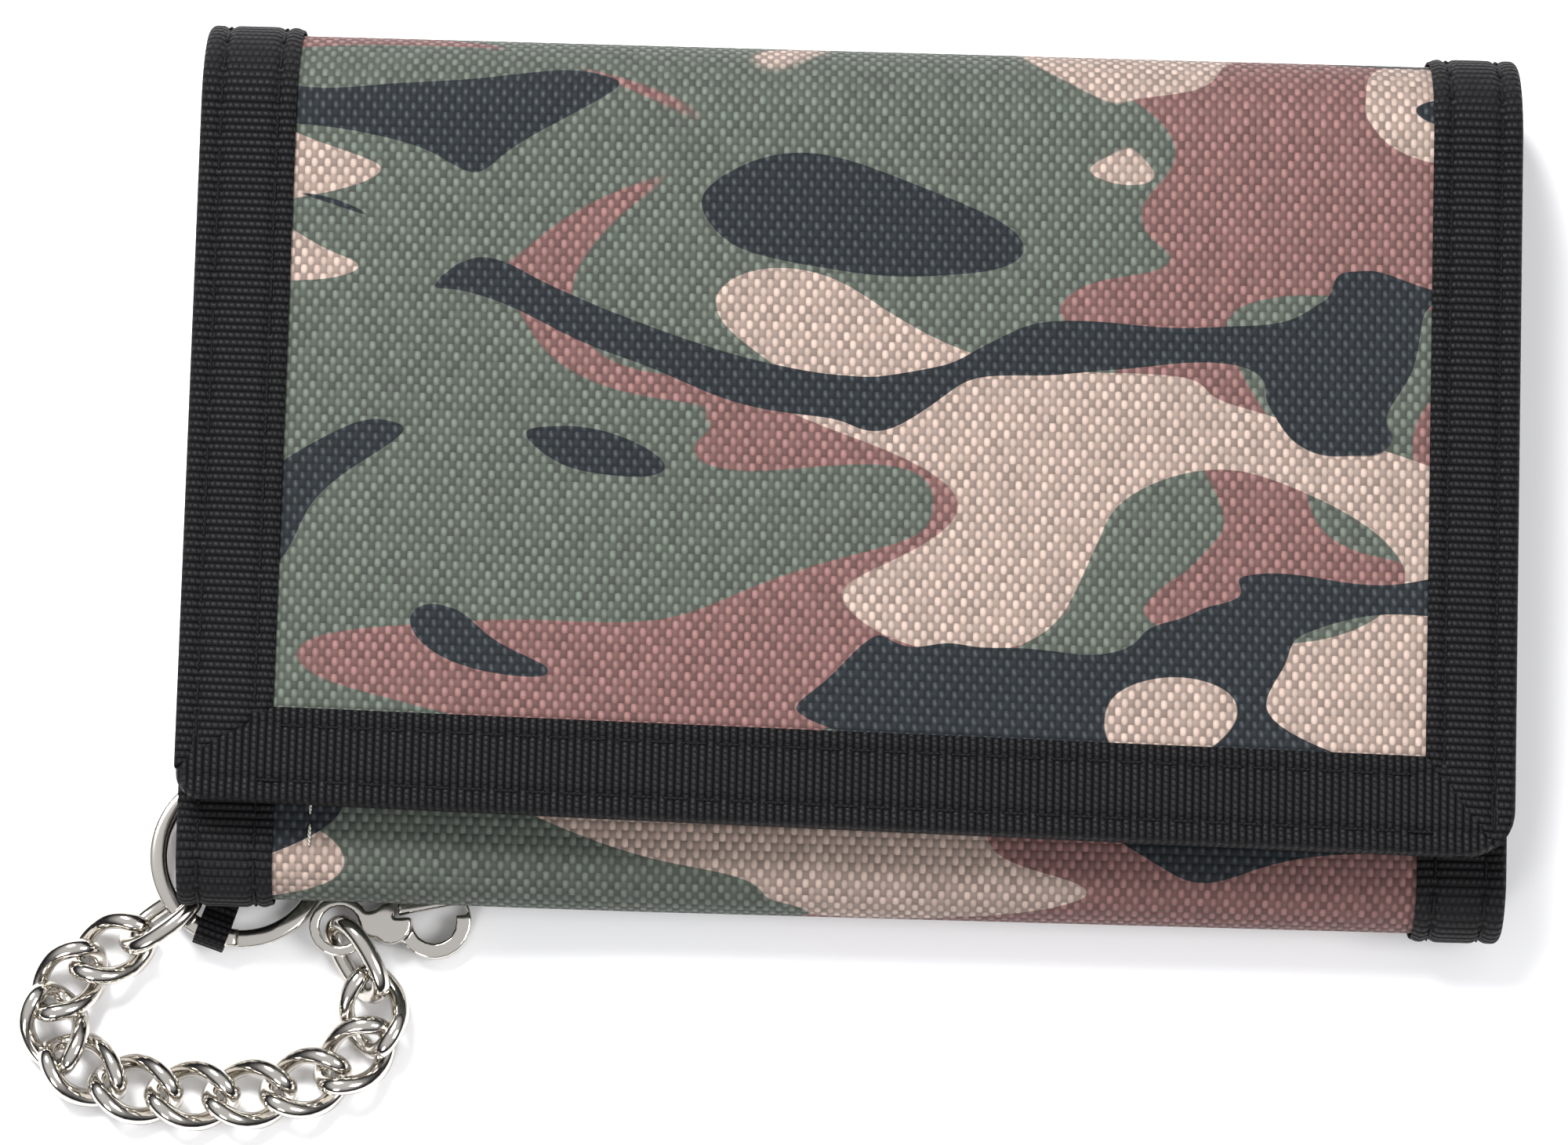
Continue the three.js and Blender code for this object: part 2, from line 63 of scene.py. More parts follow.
# ---- the wallet's own sizes, in millimetres ----
EDGE = 62.5
HEIGHT = 84.5
THICKNESS = 18.5
BOTTOM = {"y": -36.15, "z": 6.1, "r": 4.9}
TOP = {"y": 33.0, "z": 9.25, "r": 8.05}
BACK_Z = 1.2
INNER_Z = 11.0
FLAP_Z = 17.3
INNER_END = 37.0
FLAP_END = -33.95
FLAP_SKEW = -0.0176
LIFT = 4.2
LIFT_FLAT = 8.0
LIFT_REACH = 40.0
LINING_MIDDLE = -1.7
LINING_RIGHT = 50.0
CLOTH_EDGE = 61.6
LEFT_CORNER = 2.4
RIGHT_CORNER = 4.4
TAPE_INSIDE = -2.75
TAPE_INSIDE_RIGHT = -1.15
TAPE_OUTSIDE = 1.05
TAPE_MIDDLE = -0.85
MOUTH_INSIDE = -2.35
MOUTH_OUTSIDE = -1.05
FULLNESS_REACH = 12.0
CAMERA_WIDTH = 0.1482
POCKET = (-52.5, 40.5)
STRIP = (-44, 38, -23.5, -7.5)
ZIP_Y = 23.5
COIN_Z = 13.9
TACK_X = -50.0
TACK_OUT = 0.62

# lengths along the cloth, from the inner panel's free end to the flap's
S_INNER = INNER_END - BOTTOM["y"]
S_BOTTOM = S_INNER + math.pi * BOTTOM["r"]
S_BACK = S_BOTTOM + TOP["y"] - BOTTOM["y"]
S_TOP = S_BACK + math.pi * TOP["r"]
S_END = S_TOP + TOP["y"] - FLAP_END
S_BOTTOM_MIDDLE = (S_INNER + S_BOTTOM) / 2
S_TOP_MIDDLE = (S_BACK + S_TOP) / 2

# the three runs of cloth: where each starts and ends, and the two bodies that it joins
RUNS = {
    "inner": {
        "from": 0.0, "to": S_BOTTOM_MIDDLE, "bodies": ("inner_panel", "back"),
        "start": (0, -0.037, 0.012), "end": (0, -0.040, 0.0074),
        "nodes": ("inner",),
    },
    "back": {
        "from": S_BOTTOM_MIDDLE, "to": S_TOP_MIDDLE, "bodies": ("back", "top_spine"),
        "start": (0, 0.035, 0.001), "end": (0, 0.0405, 0.0065),
        "nodes": ("bottom_fold", "back"),
    },
    "flap": {
        "from": S_TOP_MIDDLE, "to": S_END, "bodies": ("flap", "top_spine"),
        "start": (0, 0.035, 0.0175), "end": (0, 0.0405, 0.012),
        "nodes": ("top_fold", "flap"),
    },
}

# the chain's route, from the ring round its loop to the clasp's eye
ROUTE = [
    (-62.45, -41.65, 3.15),
    (-66.4, -44.6, 2.75),
    (-70.6, -46.6, 2.4),
    (-74.1, -49.4, 2.4),
    (-75.3, -53.3, 2.4),
    (-73.1, -57.0, 2.4),
    (-67.8, -59.2, 2.4),
    (-61.2, -59.8, 2.4),
    (-54.6, -59.5, 2.4),
    (-48.6, -57.9, 2.4),
    (-44.4, -54.9, 2.4),
    (-43.3, -51.3, 2.4),
    (-45.2, -47.6, 2.9),
    (-47.25, -44.2, 3.25),
]
LINKS = 12
LINK = {"half_length": 3.8, "half_width": 2.6, "twist": 60.0}
RING = {"x": -57.3, "y": -37.0, "z": 1.95, "inner": 7.0, "outer": 8.7, "tilt": 7.3, "towards": 222.0}
TAB_TOWARDS = 252.0


# ---- what a user would change ----
def size(name, words, default):
    return bpy.props.FloatProperty(name=name, description=words, default=default, min=0.0, unit="LENGTH")


def colour(name, words, default):
    return bpy.props.FloatVectorProperty(
        name=name, description=words, default=default, size=4, min=0.0, max=1.0, subtype="COLOR"
    )


class WalletSizes(bpy.types.PropertyGroup):
    """Thicknesses and pitches of the cloth, tape, thread and wire."""

    cloth: size("Printed cloth", "Thickness of the printed cloth", 0.8 * MM)
    tape: size("Tape", "Thickness of the binding tape", 0.55 * MM)
    tape_left: size("Left tape", "Width of the tape along the left edges", 9.1 * MM)
    tape_right: size("Right tape", "Width of the tape along the right edges", 8.5 * MM)
    tape_end: size("End tape", "Width of the tape along the free ends", 9.0 * MM)
    stitch: size("Stitch", "Length from one stitch to the next", 3.1 * MM)
    thread: size("Thread", "Thickness of the sewing thread", 0.34 * MM)
    warp: size("Warp pitch", "Distance between the warp threads", 0.61 * MM)
    weft: size("Weft pitch", "Distance between the weft threads", 0.80 * MM)
    rib: size("Rib pitch", "Distance between the ribs of the tape", 0.72 * MM)
    wire: size("Link wire", "Thickness of the chain's wire", 1.75 * MM)


class WalletColours(bpy.types.PropertyGroup):
    """Colours of the printed cloth and of the trimmings."""

    sand: colour("Sand", "Light blots of the print", (0.375, 0.285, 0.243, 1))
    brown: colour("Mauve brown", "Large blots of the print", (0.185, 0.092, 0.086, 1))
    green: colour("Grey green", "Ground colour of the print", (0.086, 0.102, 0.083, 1))
    ink: colour("Blue black", "Dark swooshes of the print", (0.0105, 0.0155, 0.0205, 1))
    tape: colour("Tape", "Ribbed binding tape", (0.0048, 0.0048, 0.0056, 1))
    thread: colour("Thread", "Sewing thread", (0.0035, 0.0035, 0.0042, 1))
    lining: colour("Lining", "Woven lining", (0.012, 0.012, 0.014, 1))
    metal: colour("Nickel", "Chain, ring and clasp", (0.74, 0.68, 0.56, 1))
    floor: colour("Floor", "The pale floor", (0.86, 0.86, 0.87, 1))


def sizes():
    return bpy.context.scene.wallet_sizes


def colours():
    return bpy.context.scene.wallet_colours


# ---- the lie of the cloth ----
def lift(x, y):
    away = math.hypot(x + EDGE, y + HEIGHT / 2)
    t = min(max((away - LIFT_FLAT) / LIFT_REACH, 0.0), 1.0)
    return LIFT * (0.5 + 0.5 * math.cos(math.pi * t))


def skew(x, y):
    t = min(max((TOP["y"] - y) / (TOP["y"] - FLAP_END), 0.0), 1.05)
    return FLAP_SKEW * x * t


def on_line(s, d):
    """Height and depth of a point s along the cloth and d outside its middle."""
    if s < S_INNER:
        return INNER_END - s, INNER_Z + d
    if s < S_BOTTOM:
        angle = math.pi / 2 + (s - S_INNER) / BOTTOM["r"]
        r = BOTTOM["r"] + d
        return BOTTOM["y"] + r * math.cos(angle), BOTTOM["z"] + r * math.sin(angle)
    if s < S_BACK:
        return BOTTOM["y"] + s - S_BOTTOM, BACK_Z - d
    if s < S_TOP:
        angle = -math.pi / 2 + (s - S_BACK) / TOP["r"]
        r = TOP["r"] + d
        return TOP["y"] + r * math.cos(angle), TOP["z"] + r * math.sin(angle)
    return TOP["y"] - (s - S_TOP), FLAP_Z + d


def spot(x, s, d):
    """A point of the folded wallet, in metres: x across, s along the cloth, d outside its middle."""
    y, z = on_line(s, d)
    if s >= S_TOP:
        y += skew(x, y)
    return Vector((x, y, z + lift(x, y) * (1 - z / THICKNESS))) * MM


# ---- meshes ----
def new_piece(name, bm, slot, smooth=True):
    mesh = bpy.data.meshes.new(name)
    bm.to_mesh(mesh)
    bm.free()
    for face in mesh.polygons:
        face.use_smooth = smooth
    piece = bpy.data.objects.new(name, mesh)
    bpy.context.scene.collection.objects.link(piece)
    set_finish(piece, slot)
    return piece


def grid_piece(name, across, along, place, outwards, slot):
    """A grid with its vertices where place(u, v) says: a point, and its place in the flat pattern."""
    bm = bmesh.new()
    bmesh.ops.create_grid(bm, x_segments=across, y_segments=along, size=0.5, calc_uvs=True)
    uv = bm.loops.layers.uv.verify()
    flat = {}
    for vert in bm.verts:
        u, v = vert.co.x + 0.5, vert.co.y + 0.5
        vert.co, flat[vert.index] = place(min(max(u, 0), 1), min(max(v, 0), 1))
    for face in bm.faces:
        for loop in face.loops:
            loop[uv].uv = flat[loop.vert.index]
    bm.normal_update()
    bm.faces.ensure_lookup_table()
    sample = min(bm.faces, key=lambda f: (f.calc_center_median() - outwards[0]).length)
    if sample.normal.dot(outwards[1]) < 0:
        bmesh.ops.reverse_faces(bm, faces=bm.faces)
    return new_piece(name, bm, slot)


def thicken(piece, thickness, round_edge=0.0):
    solid = piece.modifiers.new("Thickness", "SOLIDIFY")
    solid.thickness = thickness
    solid.offset = -1
    solid.use_quality_normals = True
    if round_edge:
        bevel = piece.modifiers.new("Rounded edge", "BEVEL")
        bevel.width = round_edge
        bevel.segments = 2
        bevel.limit_method = "ANGLE"
        bevel.angle_limit = math.radians(50)
    return piece


def bend(piece):
    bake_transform(piece)
    return piece


def fit(piece, body, *nodes):
    """The piece moves with the body, and takes the place of these nodes."""
    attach(piece, body)
    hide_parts(*nodes)


def outward_at(x, s):
    """A point on the cloth and the way out of it there, for turning faces the right way."""
    inner, outer = spot(x, s, 0), spot(x, s, 1)
    return inner, outer - inner


# ---- materials ----
def node(tree, kind, *inputs, **settings):
    """A node whose inputs, in their order, are values or other nodes' outputs."""
    made = tree.nodes.new(kind)
    for name, value in settings.items():
        setattr(made, name, value)
    for socket, value in zip(made.inputs, inputs):
        if isinstance(value, bpy.types.NodeSocket):
            tree.links.new(value, socket)
        elif value is not None:
            socket.default_value = value
    return made


def maths(tree, operation, a, b=None, c=None):
    return node(tree, "ShaderNodeMath", a, b, c, operation=operation).outputs[0]


def step(tree, value, low, high):
    """0 below low, 1 above high, and smooth between."""
    made = node(tree, "ShaderNodeMapRange", value, low, high, 0.0, 1.0, interpolation_type="SMOOTHSTEP")
    return made.outputs[0]


def mix(tree, factor, a, b, blend_type="MIX"):
    made = tree.nodes.new("ShaderNodeMix")
    made.data_type = "RGBA"
    made.blend_type = blend_type
    for socket, value in ((made.inputs[0], factor), (made.inputs[6], a), (made.inputs[7], b)):
        if isinstance(value, bpy.types.NodeSocket):
            tree.links.new(value, socket)
        else:
            socket.default_value = value
    return made.outputs[2]


def new_group(name, inputs, outputs):
    tree = bpy.data.node_groups.new(name, "ShaderNodeTree")
    for label, kind, default in inputs:
        socket = tree.interface.new_socket(label, in_out="INPUT", socket_type=kind)
        socket.default_value = default
    for label, kind in outputs:
        tree.interface.new_socket(label, in_out="OUTPUT", socket_type=kind)
    return tree, tree.nodes.new("NodeGroupInput"), tree.nodes.new("NodeGroupOutput")


FLOAT = "NodeSocketFloat"
VECTOR = "NodeSocketVector"
COLOUR = "NodeSocketColor"


def weave_group():
    """Plain weave: threads that pass over and under each other. Position is in millimetres."""
    tree, given, out = new_group(
        "Plain weave",
        [("Position", VECTOR, (0, 0, 0)), ("Warp pitch", FLOAT, 0.6), ("Weft pitch", FLOAT, 0.8)],
        [("Height", FLOAT), ("Warp on top", FLOAT), ("Thread tone", FLOAT)],
    )
    apart = node(tree, "ShaderNodeSeparateXYZ", given.outputs["Position"])
    a = maths(tree, "DIVIDE", apart.outputs[0], given.outputs["Warp pitch"])
    b = maths(tree, "DIVIDE", apart.outputs[1], given.outputs["Weft pitch"])
    i, j = maths(tree, "FLOOR", a), maths(tree, "FLOOR", b)
    both = maths(tree, "FLOORED_MODULO", maths(tree, "ADD", i, j), 2.0)
    sign = maths(tree, "MULTIPLY_ADD", both, -2.0, 1.0)
    round_a = maths(tree, "SINE", maths(tree, "MULTIPLY", maths(tree, "FRACT", a), math.pi))
    round_b = maths(tree, "SINE", maths(tree, "MULTIPLY", maths(tree, "FRACT", b), math.pi))
    wave_a = maths(tree, "MULTIPLY", maths(tree, "MULTIPLY", sign, round_a), -0.45)
    wave_b = maths(tree, "MULTIPLY", maths(tree, "MULTIPLY", sign, round_b), 0.45)
    warp = maths(tree, "MULTIPLY_ADD", round_a, 0.55, wave_b)
    weft = maths(tree, "MULTIPLY_ADD", round_b, 0.55, wave_a)
    top = maths(tree, "MAXIMUM", warp, weft)
    over = step(tree, maths(tree, "SUBTRACT", warp, weft), -0.12, 0.12)
    thread = node(tree, "ShaderNodeCombineXYZ", i, j, 0.0)
    tone = node(tree, "ShaderNodeTexWhiteNoise", thread.outputs[0], noise_dimensions="3D")
    tree.links.new(top, out.inputs["Height"])
    tree.links.new(over, out.inputs["Warp on top"])
    tree.links.new(tone.outputs[0], out.inputs["Thread tone"])
    return tree


def grosgrain_group():
    """Ribs across a tape, each broken by the threads that bind it. Position is in millimetres."""
    tree, given, out = new_group(
        "Grosgrain",
        [("Position", VECTOR, (0, 0, 0)), ("Rib pitch", FLOAT, 0.72)],
        [("Height", FLOAT), ("Crown", FLOAT), ("Rib tone", FLOAT)],
    )
    apart = node(tree, "ShaderNodeSeparateXYZ", given.outputs["Position"])
    b = maths(tree, "DIVIDE", apart.outputs[1], given.outputs["Rib pitch"])
    rib = maths(tree, "FLOOR", b)
    half = maths(tree, "MULTIPLY", maths(tree, "FLOORED_MODULO", rib, 2.0), 0.5)
    a = maths(tree, "ADD", maths(tree, "DIVIDE", apart.outputs[0], 0.62), half)
    round_b = maths(tree, "SINE", maths(tree, "MULTIPLY", maths(tree, "FRACT", b), math.pi))
    round_a = maths(tree, "SINE", maths(tree, "MULTIPLY", maths(tree, "FRACT", a), math.pi))
    dash = maths(tree, "MULTIPLY_ADD", maths(tree, "POWER", round_a, 0.6), 0.4, 0.6)
    height = maths(tree, "MULTIPLY", maths(tree, "POWER", round_b, 0.7), dash)
    cell = node(tree, "ShaderNodeCombineXYZ", maths(tree, "FLOOR", a), rib, 0.0)
    tone = node(tree, "ShaderNodeTexWhiteNoise", cell.outputs[0], noise_dimensions="3D")
    tree.links.new(height, out.inputs["Height"])
    tree.links.new(step(tree, height, 0.72, 1.0), out.inputs["Crown"])
    tree.links.new(tone.outputs[0], out.inputs["Rib tone"])
    return tree


def print_group():
    """A generic print of wide lobed blots in four colours. Position is in millimetres."""
    tree, given, out = new_group(
        "Blotted print",
        [("Position", VECTOR, (0, 0, 0))]
        + [(label, COLOUR, (0.5, 0.5, 0.5, 1)) for label in ("Sand", "Brown", "Green", "Ink")],
        [("Colour", COLOUR)],
    )

    def blots(offset, stretch, detail, distortion):
        place = given.outputs["Position"]
        moved = node(tree, "ShaderNodeMapping", place, offset, (0, 0, 0), stretch, vector_type="POINT")
        noise = node(tree, "ShaderNodeTexNoise", moved.outputs[0], noise_dimensions="2D")
        noise.inputs["Scale"].default_value = 1.0
        noise.inputs["Detail"].default_value = detail
        noise.inputs["Roughness"].default_value = 0.42
        noise.inputs["Distortion"].default_value = distortion
        return noise.outputs[0]

    # green is the ground, with brown and sand blots on it, and dark tongues over them
    brown = step(tree, blots((15.6, 49.3, 0), (0.0175, 0.038, 1), 0.5, 1.0), 0.525, 0.528)
    sand = step(tree, blots((33.2, 64.4, 0), (0.0185, 0.042, 1), 0.5, 0.9), 0.590, 0.593)
    dark = step(tree, blots((41.7, 6.2, 0), (0.0240, 0.056, 1), 0.6, 1.4), 0.622, 0.625)
    colour_now = mix(tree, brown, given.outputs["Green"], given.outputs["Brown"])
    colour_now = mix(tree, sand, colour_now, given.outputs["Sand"])
    colour_now = mix(tree, dark, colour_now, given.outputs["Ink"])
    tree.links.new(colour_now, out.inputs["Colour"])
    return tree


def wear_group():
    """Fine scratches and dull patches of handled metal. Position is in millimetres."""
    tree, given, out = new_group(
        "Handled metal",
        [("Position", VECTOR, (0, 0, 0)), ("Base roughness", FLOAT, 0.2)],
        [("Roughness", FLOAT), ("Height", FLOAT), ("Dull", FLOAT)],
    )
    patches = node(tree, "ShaderNodeTexNoise", given.outputs["Position"], None, 0.45, 3.0)
    fine = node(tree, "ShaderNodeTexNoise", given.outputs["Position"], None, 9.0, 3.0)
    dull = step(tree, patches.outputs[0], 0.45, 0.75)
    rough = maths(tree, "MULTIPLY_ADD", dull, 0.16, given.outputs["Base roughness"])
    tree.links.new(rough, out.inputs["Roughness"])
    tree.links.new(fine.outputs[0], out.inputs["Height"])
    tree.links.new(dull, out.inputs["Dull"])
    return tree


def group_node(tree, name, **values):
    made = tree.nodes.new("ShaderNodeGroup")
    made.node_tree = bpy.data.node_groups[name]
    for label, value in values.items():
        socket = made.inputs[label.replace("_", " ")]
        if isinstance(value, bpy.types.NodeSocket):
            tree.links.new(value, socket)
        else:
            socket.default_value = value
    return made


def tint(tree, shader, colour_now):
    tree.links.new(colour_now, shader.inputs["Base Color"])


def polish(tree, shader, roughness):
    tree.links.new(roughness, shader.inputs["Roughness"])


def new_material(name):
    material = bpy.data.materials.new(name)
    material.use_nodes = True
    tree = material.node_tree
    return material, tree, tree.nodes["Principled BSDF"]


def millimetres(tree, source="UV"):
    place = tree.nodes.new("ShaderNodeTexCoord")
    scaled = node(tree, "ShaderNodeVectorMath", place.outputs[source], operation="SCALE")
    scaled.inputs["Scale"].default_value = 1 / MM
    return scaled.outputs[0]


def bump(tree, shader, height, distance, strength=1.0):
    made = tree.nodes.new("ShaderNodeBump")
    made.inputs["Strength"].default_value = strength
    made.inputs["Distance"].default_value = distance
    tree.links.new(height, made.inputs["Height"])
    tree.links.new(made.outputs[0], shader.inputs["Normal"])


def printed_cloth_material():
    material, tree, shader = new_material("printed cloth")
    at = millimetres(tree)
    c = colours()
    weave = group_node(
        tree, "Plain weave", Position=at, Warp_pitch=sizes().warp / MM, Weft_pitch=sizes().weft / MM
    )
    printed = group_node(
        tree, "Blotted print", Position=at, Sand=c.sand, Brown=c.brown, Green=c.green, Ink=c.ink
    )
    tone = maths(tree, "MULTIPLY_ADD", weave.outputs["Thread tone"], 0.34, 0.83)
    warp, height = weave.outputs["Warp on top"], weave.outputs["Height"]
    # painted shade: the print is dimmed to half where the threads dip and where the weft lies on top, and
    # kept bright up the raised warp floats; each thread's random tone is real
    crown = maths(tree, "MULTIPLY", warp, step(tree, height, 0.10, 0.80))
    thread_shade_and_tone = maths(tree, "MULTIPLY", maths(tree, "MULTIPLY_ADD", crown, 0.46, 0.50), tone)
    grey = node(tree, "ShaderNodeCombineColor", thread_shade_and_tone, thread_shade_and_tone, thread_shade_and_tone)
    shaded_print = mix(tree, 1.0, printed.outputs["Colour"], grey.outputs[0], "MULTIPLY")
    # painted highlight: the tops of the warp floats are mixed towards a near white, varied by each thread's
    # random tone
    pale = mix(tree, 0.03, shaded_print, (0.72, 0.72, 0.70, 1))
    painted_crown_highlight = maths(tree, "MULTIPLY", warp, step(tree, height, 0.75, 1.0))
    tint(tree, shader, mix(tree, maths(tree, "MULTIPLY", painted_crown_highlight, tone), shaded_print, pale))
    polish(tree, shader, maths(tree, "MULTIPLY_ADD", crown, -0.16, 0.74))
    shader.inputs["Specular IOR Level"].default_value = 0.24
    shader.inputs["Sheen Weight"].default_value = 0.03
    shader.inputs["Sheen Roughness"].default_value = 0.45
    bump(tree, shader, height, 0.16 * MM)
    return material


def tape_material():
    material, tree, shader = new_material("binding tape")
    at = millimetres(tree)
    ribs = group_node(tree, "Grosgrain", Position=at, Rib_pitch=sizes().rib / MM)
    base = colours().tape
    # light is a painted highlight colour for the rib crowns, deep a painted shade colour for the grooves
    # between the ribs
    light = tuple(v * 3.6 for v in base[:3]) + (1,)
    deep = tuple(v * 0.32 for v in base[:3]) + (1,)
    # painted shade in the grooves between the ribs
    body = mix(tree, step(tree, ribs.outputs["Height"], 0.2, 0.75), deep, base)
    # painted highlight on the rib crowns, varied by each rib's random tone
    tone = maths(tree, "MULTIPLY_ADD", ribs.outputs["Rib tone"], 0.5, 0.3)
    crown = maths(tree, "MULTIPLY", ribs.outputs["Crown"], tone)
    tint(tree, shader, mix(tree, crown, body, light))
    polish(tree, shader, maths(tree, "MULTIPLY_ADD", ribs.outputs["Crown"], -0.12, 0.64))
    shader.inputs["Specular IOR Level"].default_value = 0.12
    bump(tree, shader, ribs.outputs["Height"], 0.2 * MM)
    return material


def lining_material(name="lining", base=None, pitch=0.34, rough=0.62):
    material, tree, shader = new_material(name)
    at = millimetres(tree)
    weave = group_node(tree, "Plain weave", Position=at, Warp_pitch=pitch, Weft_pitch=pitch * 1.15)
    base = tuple(base or colours().lining)
    # painted highlight: the raised threads are lightened up to 2.2 times the lining colour, varied by each
    # thread's random tone
    light = tuple(min(1, v * 2.2) for v in base[:3]) + (1,)
    height = step(tree, weave.outputs["Height"], 0.4, 1.0)
    lit = maths(tree, "MULTIPLY", height, weave.outputs["Thread tone"])
    tint(tree, shader, mix(tree, lit, base, light))
    folds = node(tree, "ShaderNodeTexNoise", at, None, 0.12, 2.0)
    polish(tree, shader, maths(tree, "MULTIPLY_ADD", folds.outputs[0], 0.2, rough - 0.1))
    bump(tree, shader, weave.outputs["Height"], 0.06 * MM)
    return material


def pile_material():
    """Hook and loop strip: a dense rough pile."""
    material, tree, shader = new_material("hook and loop")
    at = millimetres(tree, "Object")
    cells = node(tree, "ShaderNodeTexVoronoi", at, None, 1.9)
    fine = node(tree, "ShaderNodeTexNoise", at, None, 5.0, 4.0)
    height = maths(tree, "ADD", maths(tree, "MULTIPLY", cells.outputs[0], 0.7), fine.outputs[0])
    deep, tips = (0.035, 0.035, 0.038, 1), (0.008, 0.008, 0.009, 1)
    tint(tree, shader, mix(tree, step(tree, height, 0.4, 1.2), deep, tips))
    shader.inputs["Roughness"].default_value = 0.8
    bump(tree, shader, height, 0.3 * MM)
    return material


def thread_material(name, base):
    material, tree, shader = new_material(name)
    at = millimetres(tree, "Object")
    apart = node(tree, "ShaderNodeSeparateXYZ", at)
    slant = maths(tree, "ADD", maths(tree, "ADD", apart.outputs[0], apart.outputs[1]), apart.outputs[2])
    ply = maths(tree, "SINE", maths(tree, "MULTIPLY", slant, 2 * math.pi / 0.42))
    base = tuple(base[:3]) + (1,)
    # painted highlight: the crowns of the twisted plies are lightened to 2.5 times the thread colour
    light = tuple(v * 2.5 for v in base[:3]) + (1,)
    tint(tree, shader, mix(tree, step(tree, ply, -0.4, 0.9), base, light))
    shader.inputs["Roughness"].default_value = 0.6
    shader.inputs["Specular IOR Level"].default_value = 0.15
    bump(tree, shader, ply, 0.05 * MM)
    return material


def metal_material(name="nickel", roughness=0.17):
    material, tree, shader = new_material(name)
    at = millimetres(tree, "Object")
    wear = group_node(tree, "Handled metal", Position=at, Base_roughness=roughness)
    base = tuple(colours().metal)
    dark = tuple(v * 0.72 for v in base[:3]) + (1,)
    tint(tree, shader, mix(tree, wear.outputs["Dull"], base, dark))
    polish(tree, shader, wear.outputs["Roughness"])
    shader.inputs["Metallic"].default_value = 1.0
    bump(tree, shader, wear.outputs["Height"], 0.012 * MM)
    return material


def vinyl_material():
    material, tree, shader = new_material("clear vinyl")
    at = millimetres(tree, "Object")
    haze = node(tree, "ShaderNodeTexNoise", at, None, 0.08, 3.0)
    polish(tree, shader, maths(tree, "MULTIPLY_ADD", haze.outputs[0], 0.2, 0.06))
    tint(tree, shader, mix(tree, haze.outputs[0], (0.52, 0.55, 0.57, 1), (0.62, 0.64, 0.64, 1)))
    shader.inputs["Alpha"].default_value = 0.16
    bump(tree, shader, haze.outputs[0], 0.15 * MM)
    return material


def make_materials():
    weave_group()
    grosgrain_group()
    print_group()
    wear_group()
    printed_cloth_material()
    tape_material()
    lining_material()
    lining_material("cloth backing", (0.022, 0.022, 0.024, 1), 0.6, 0.5)
    pile_material()
    thread_material("thread", colours().thread)
    thread_material("pale thread", (0.30, 0.29, 0.26))
    metal_material()
    vinyl_material()


def finish_with(piece, *names):
    piece.data.materials.clear()
    for name in names:
        piece.data.materials.append(bpy.data.materials[name])
    return piece


# ---- the layers of cloth ----
def cloth_piece(name, run, x0, x1, middle, thickness, s_from=None, s_to=None, crown=0.0):
    """One run of a layer: its outer face is thickness / 2 outside its middle."""
    start = RUNS[run]["from"] if s_from is None else s_from
    stop = RUNS[run]["to"] if s_to is None else s_to
    outer = middle + thickness / 2

    def place(u, v):
        s = start + (stop - start) * v
        ending = S_END - s if run == "flap" else s
        x = x0 + (x1 - x0) * u
        limit = EDGE - 0.9 - 1.2 * rounding(ending - 0.8, 5.0)
        x = max(min(x, limit), -limit)
        side = 1 - abs(2 * u - 1) ** 4
        # the fullness starts away from the seam with the next run
        near = min((s - start) / FULLNESS_REACH, 1.0)
        wave = 0.6 + 0.4 * math.sin(0.11 * x + 0.07 * s) * math.sin(0.05 * s + 0.03 * x)
        rise = crown * side * near * near * (3 - 2 * near) * wave
        return spot(x, s, outer + rise), (x * MM, s * MM)

    middle_s = (start + stop) / 2
    piece = grid_piece(name, 84, 96, place, outward_at((x0 + x1) / 2, middle_s), "printed_cloth")
    return thicken(piece, thickness * MM)


def rounding(ending, radius):
    """How far a round corner of that radius draws in the sides, at a distance from the free end."""
    inside = max(radius - max(ending, 0), 0)
    return radius - math.sqrt(max(radius * radius - inside * inside, 0))


def make_cloth():
    made = {}
    ends = {
        "inner": (0.8, S_BOTTOM_MIDDLE), "back": (S_BOTTOM_MIDDLE, S_TOP_MIDDLE),
        "flap": (S_TOP_MIDDLE, S_END - 0.8),
    }
    for run, (start, stop) in ends.items():
        crown = {"inner": 0.0, "back": 0.0, "flap": 0.25}[run]
        piece = cloth_piece(
            run + "_printed_cloth", run, -CLOTH_EDGE, CLOTH_EDGE, 0.0, sizes().cloth / MM,
            start, stop, crown,
        )
        finish_with(piece, "printed cloth", "cloth backing")
        piece.modifiers["Thickness"].material_offset = 1
        bend(piece)
        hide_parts(*(part + "_shell" for part in RUNS[run]["nodes"]))
        made[run] = (piece, start, stop)
        inner = cloth_piece(
            run + "_lining_cloth", run, -CLOTH_EDGE, LINING_RIGHT - 0.5, LINING_MIDDLE, 0.6, start, stop
        )
        finish_with(inner, "lining")
        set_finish(inner, "lining")
        bend(inner)
        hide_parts(*(part + "_lining" for part in RUNS[run]["nodes"]))
    return made


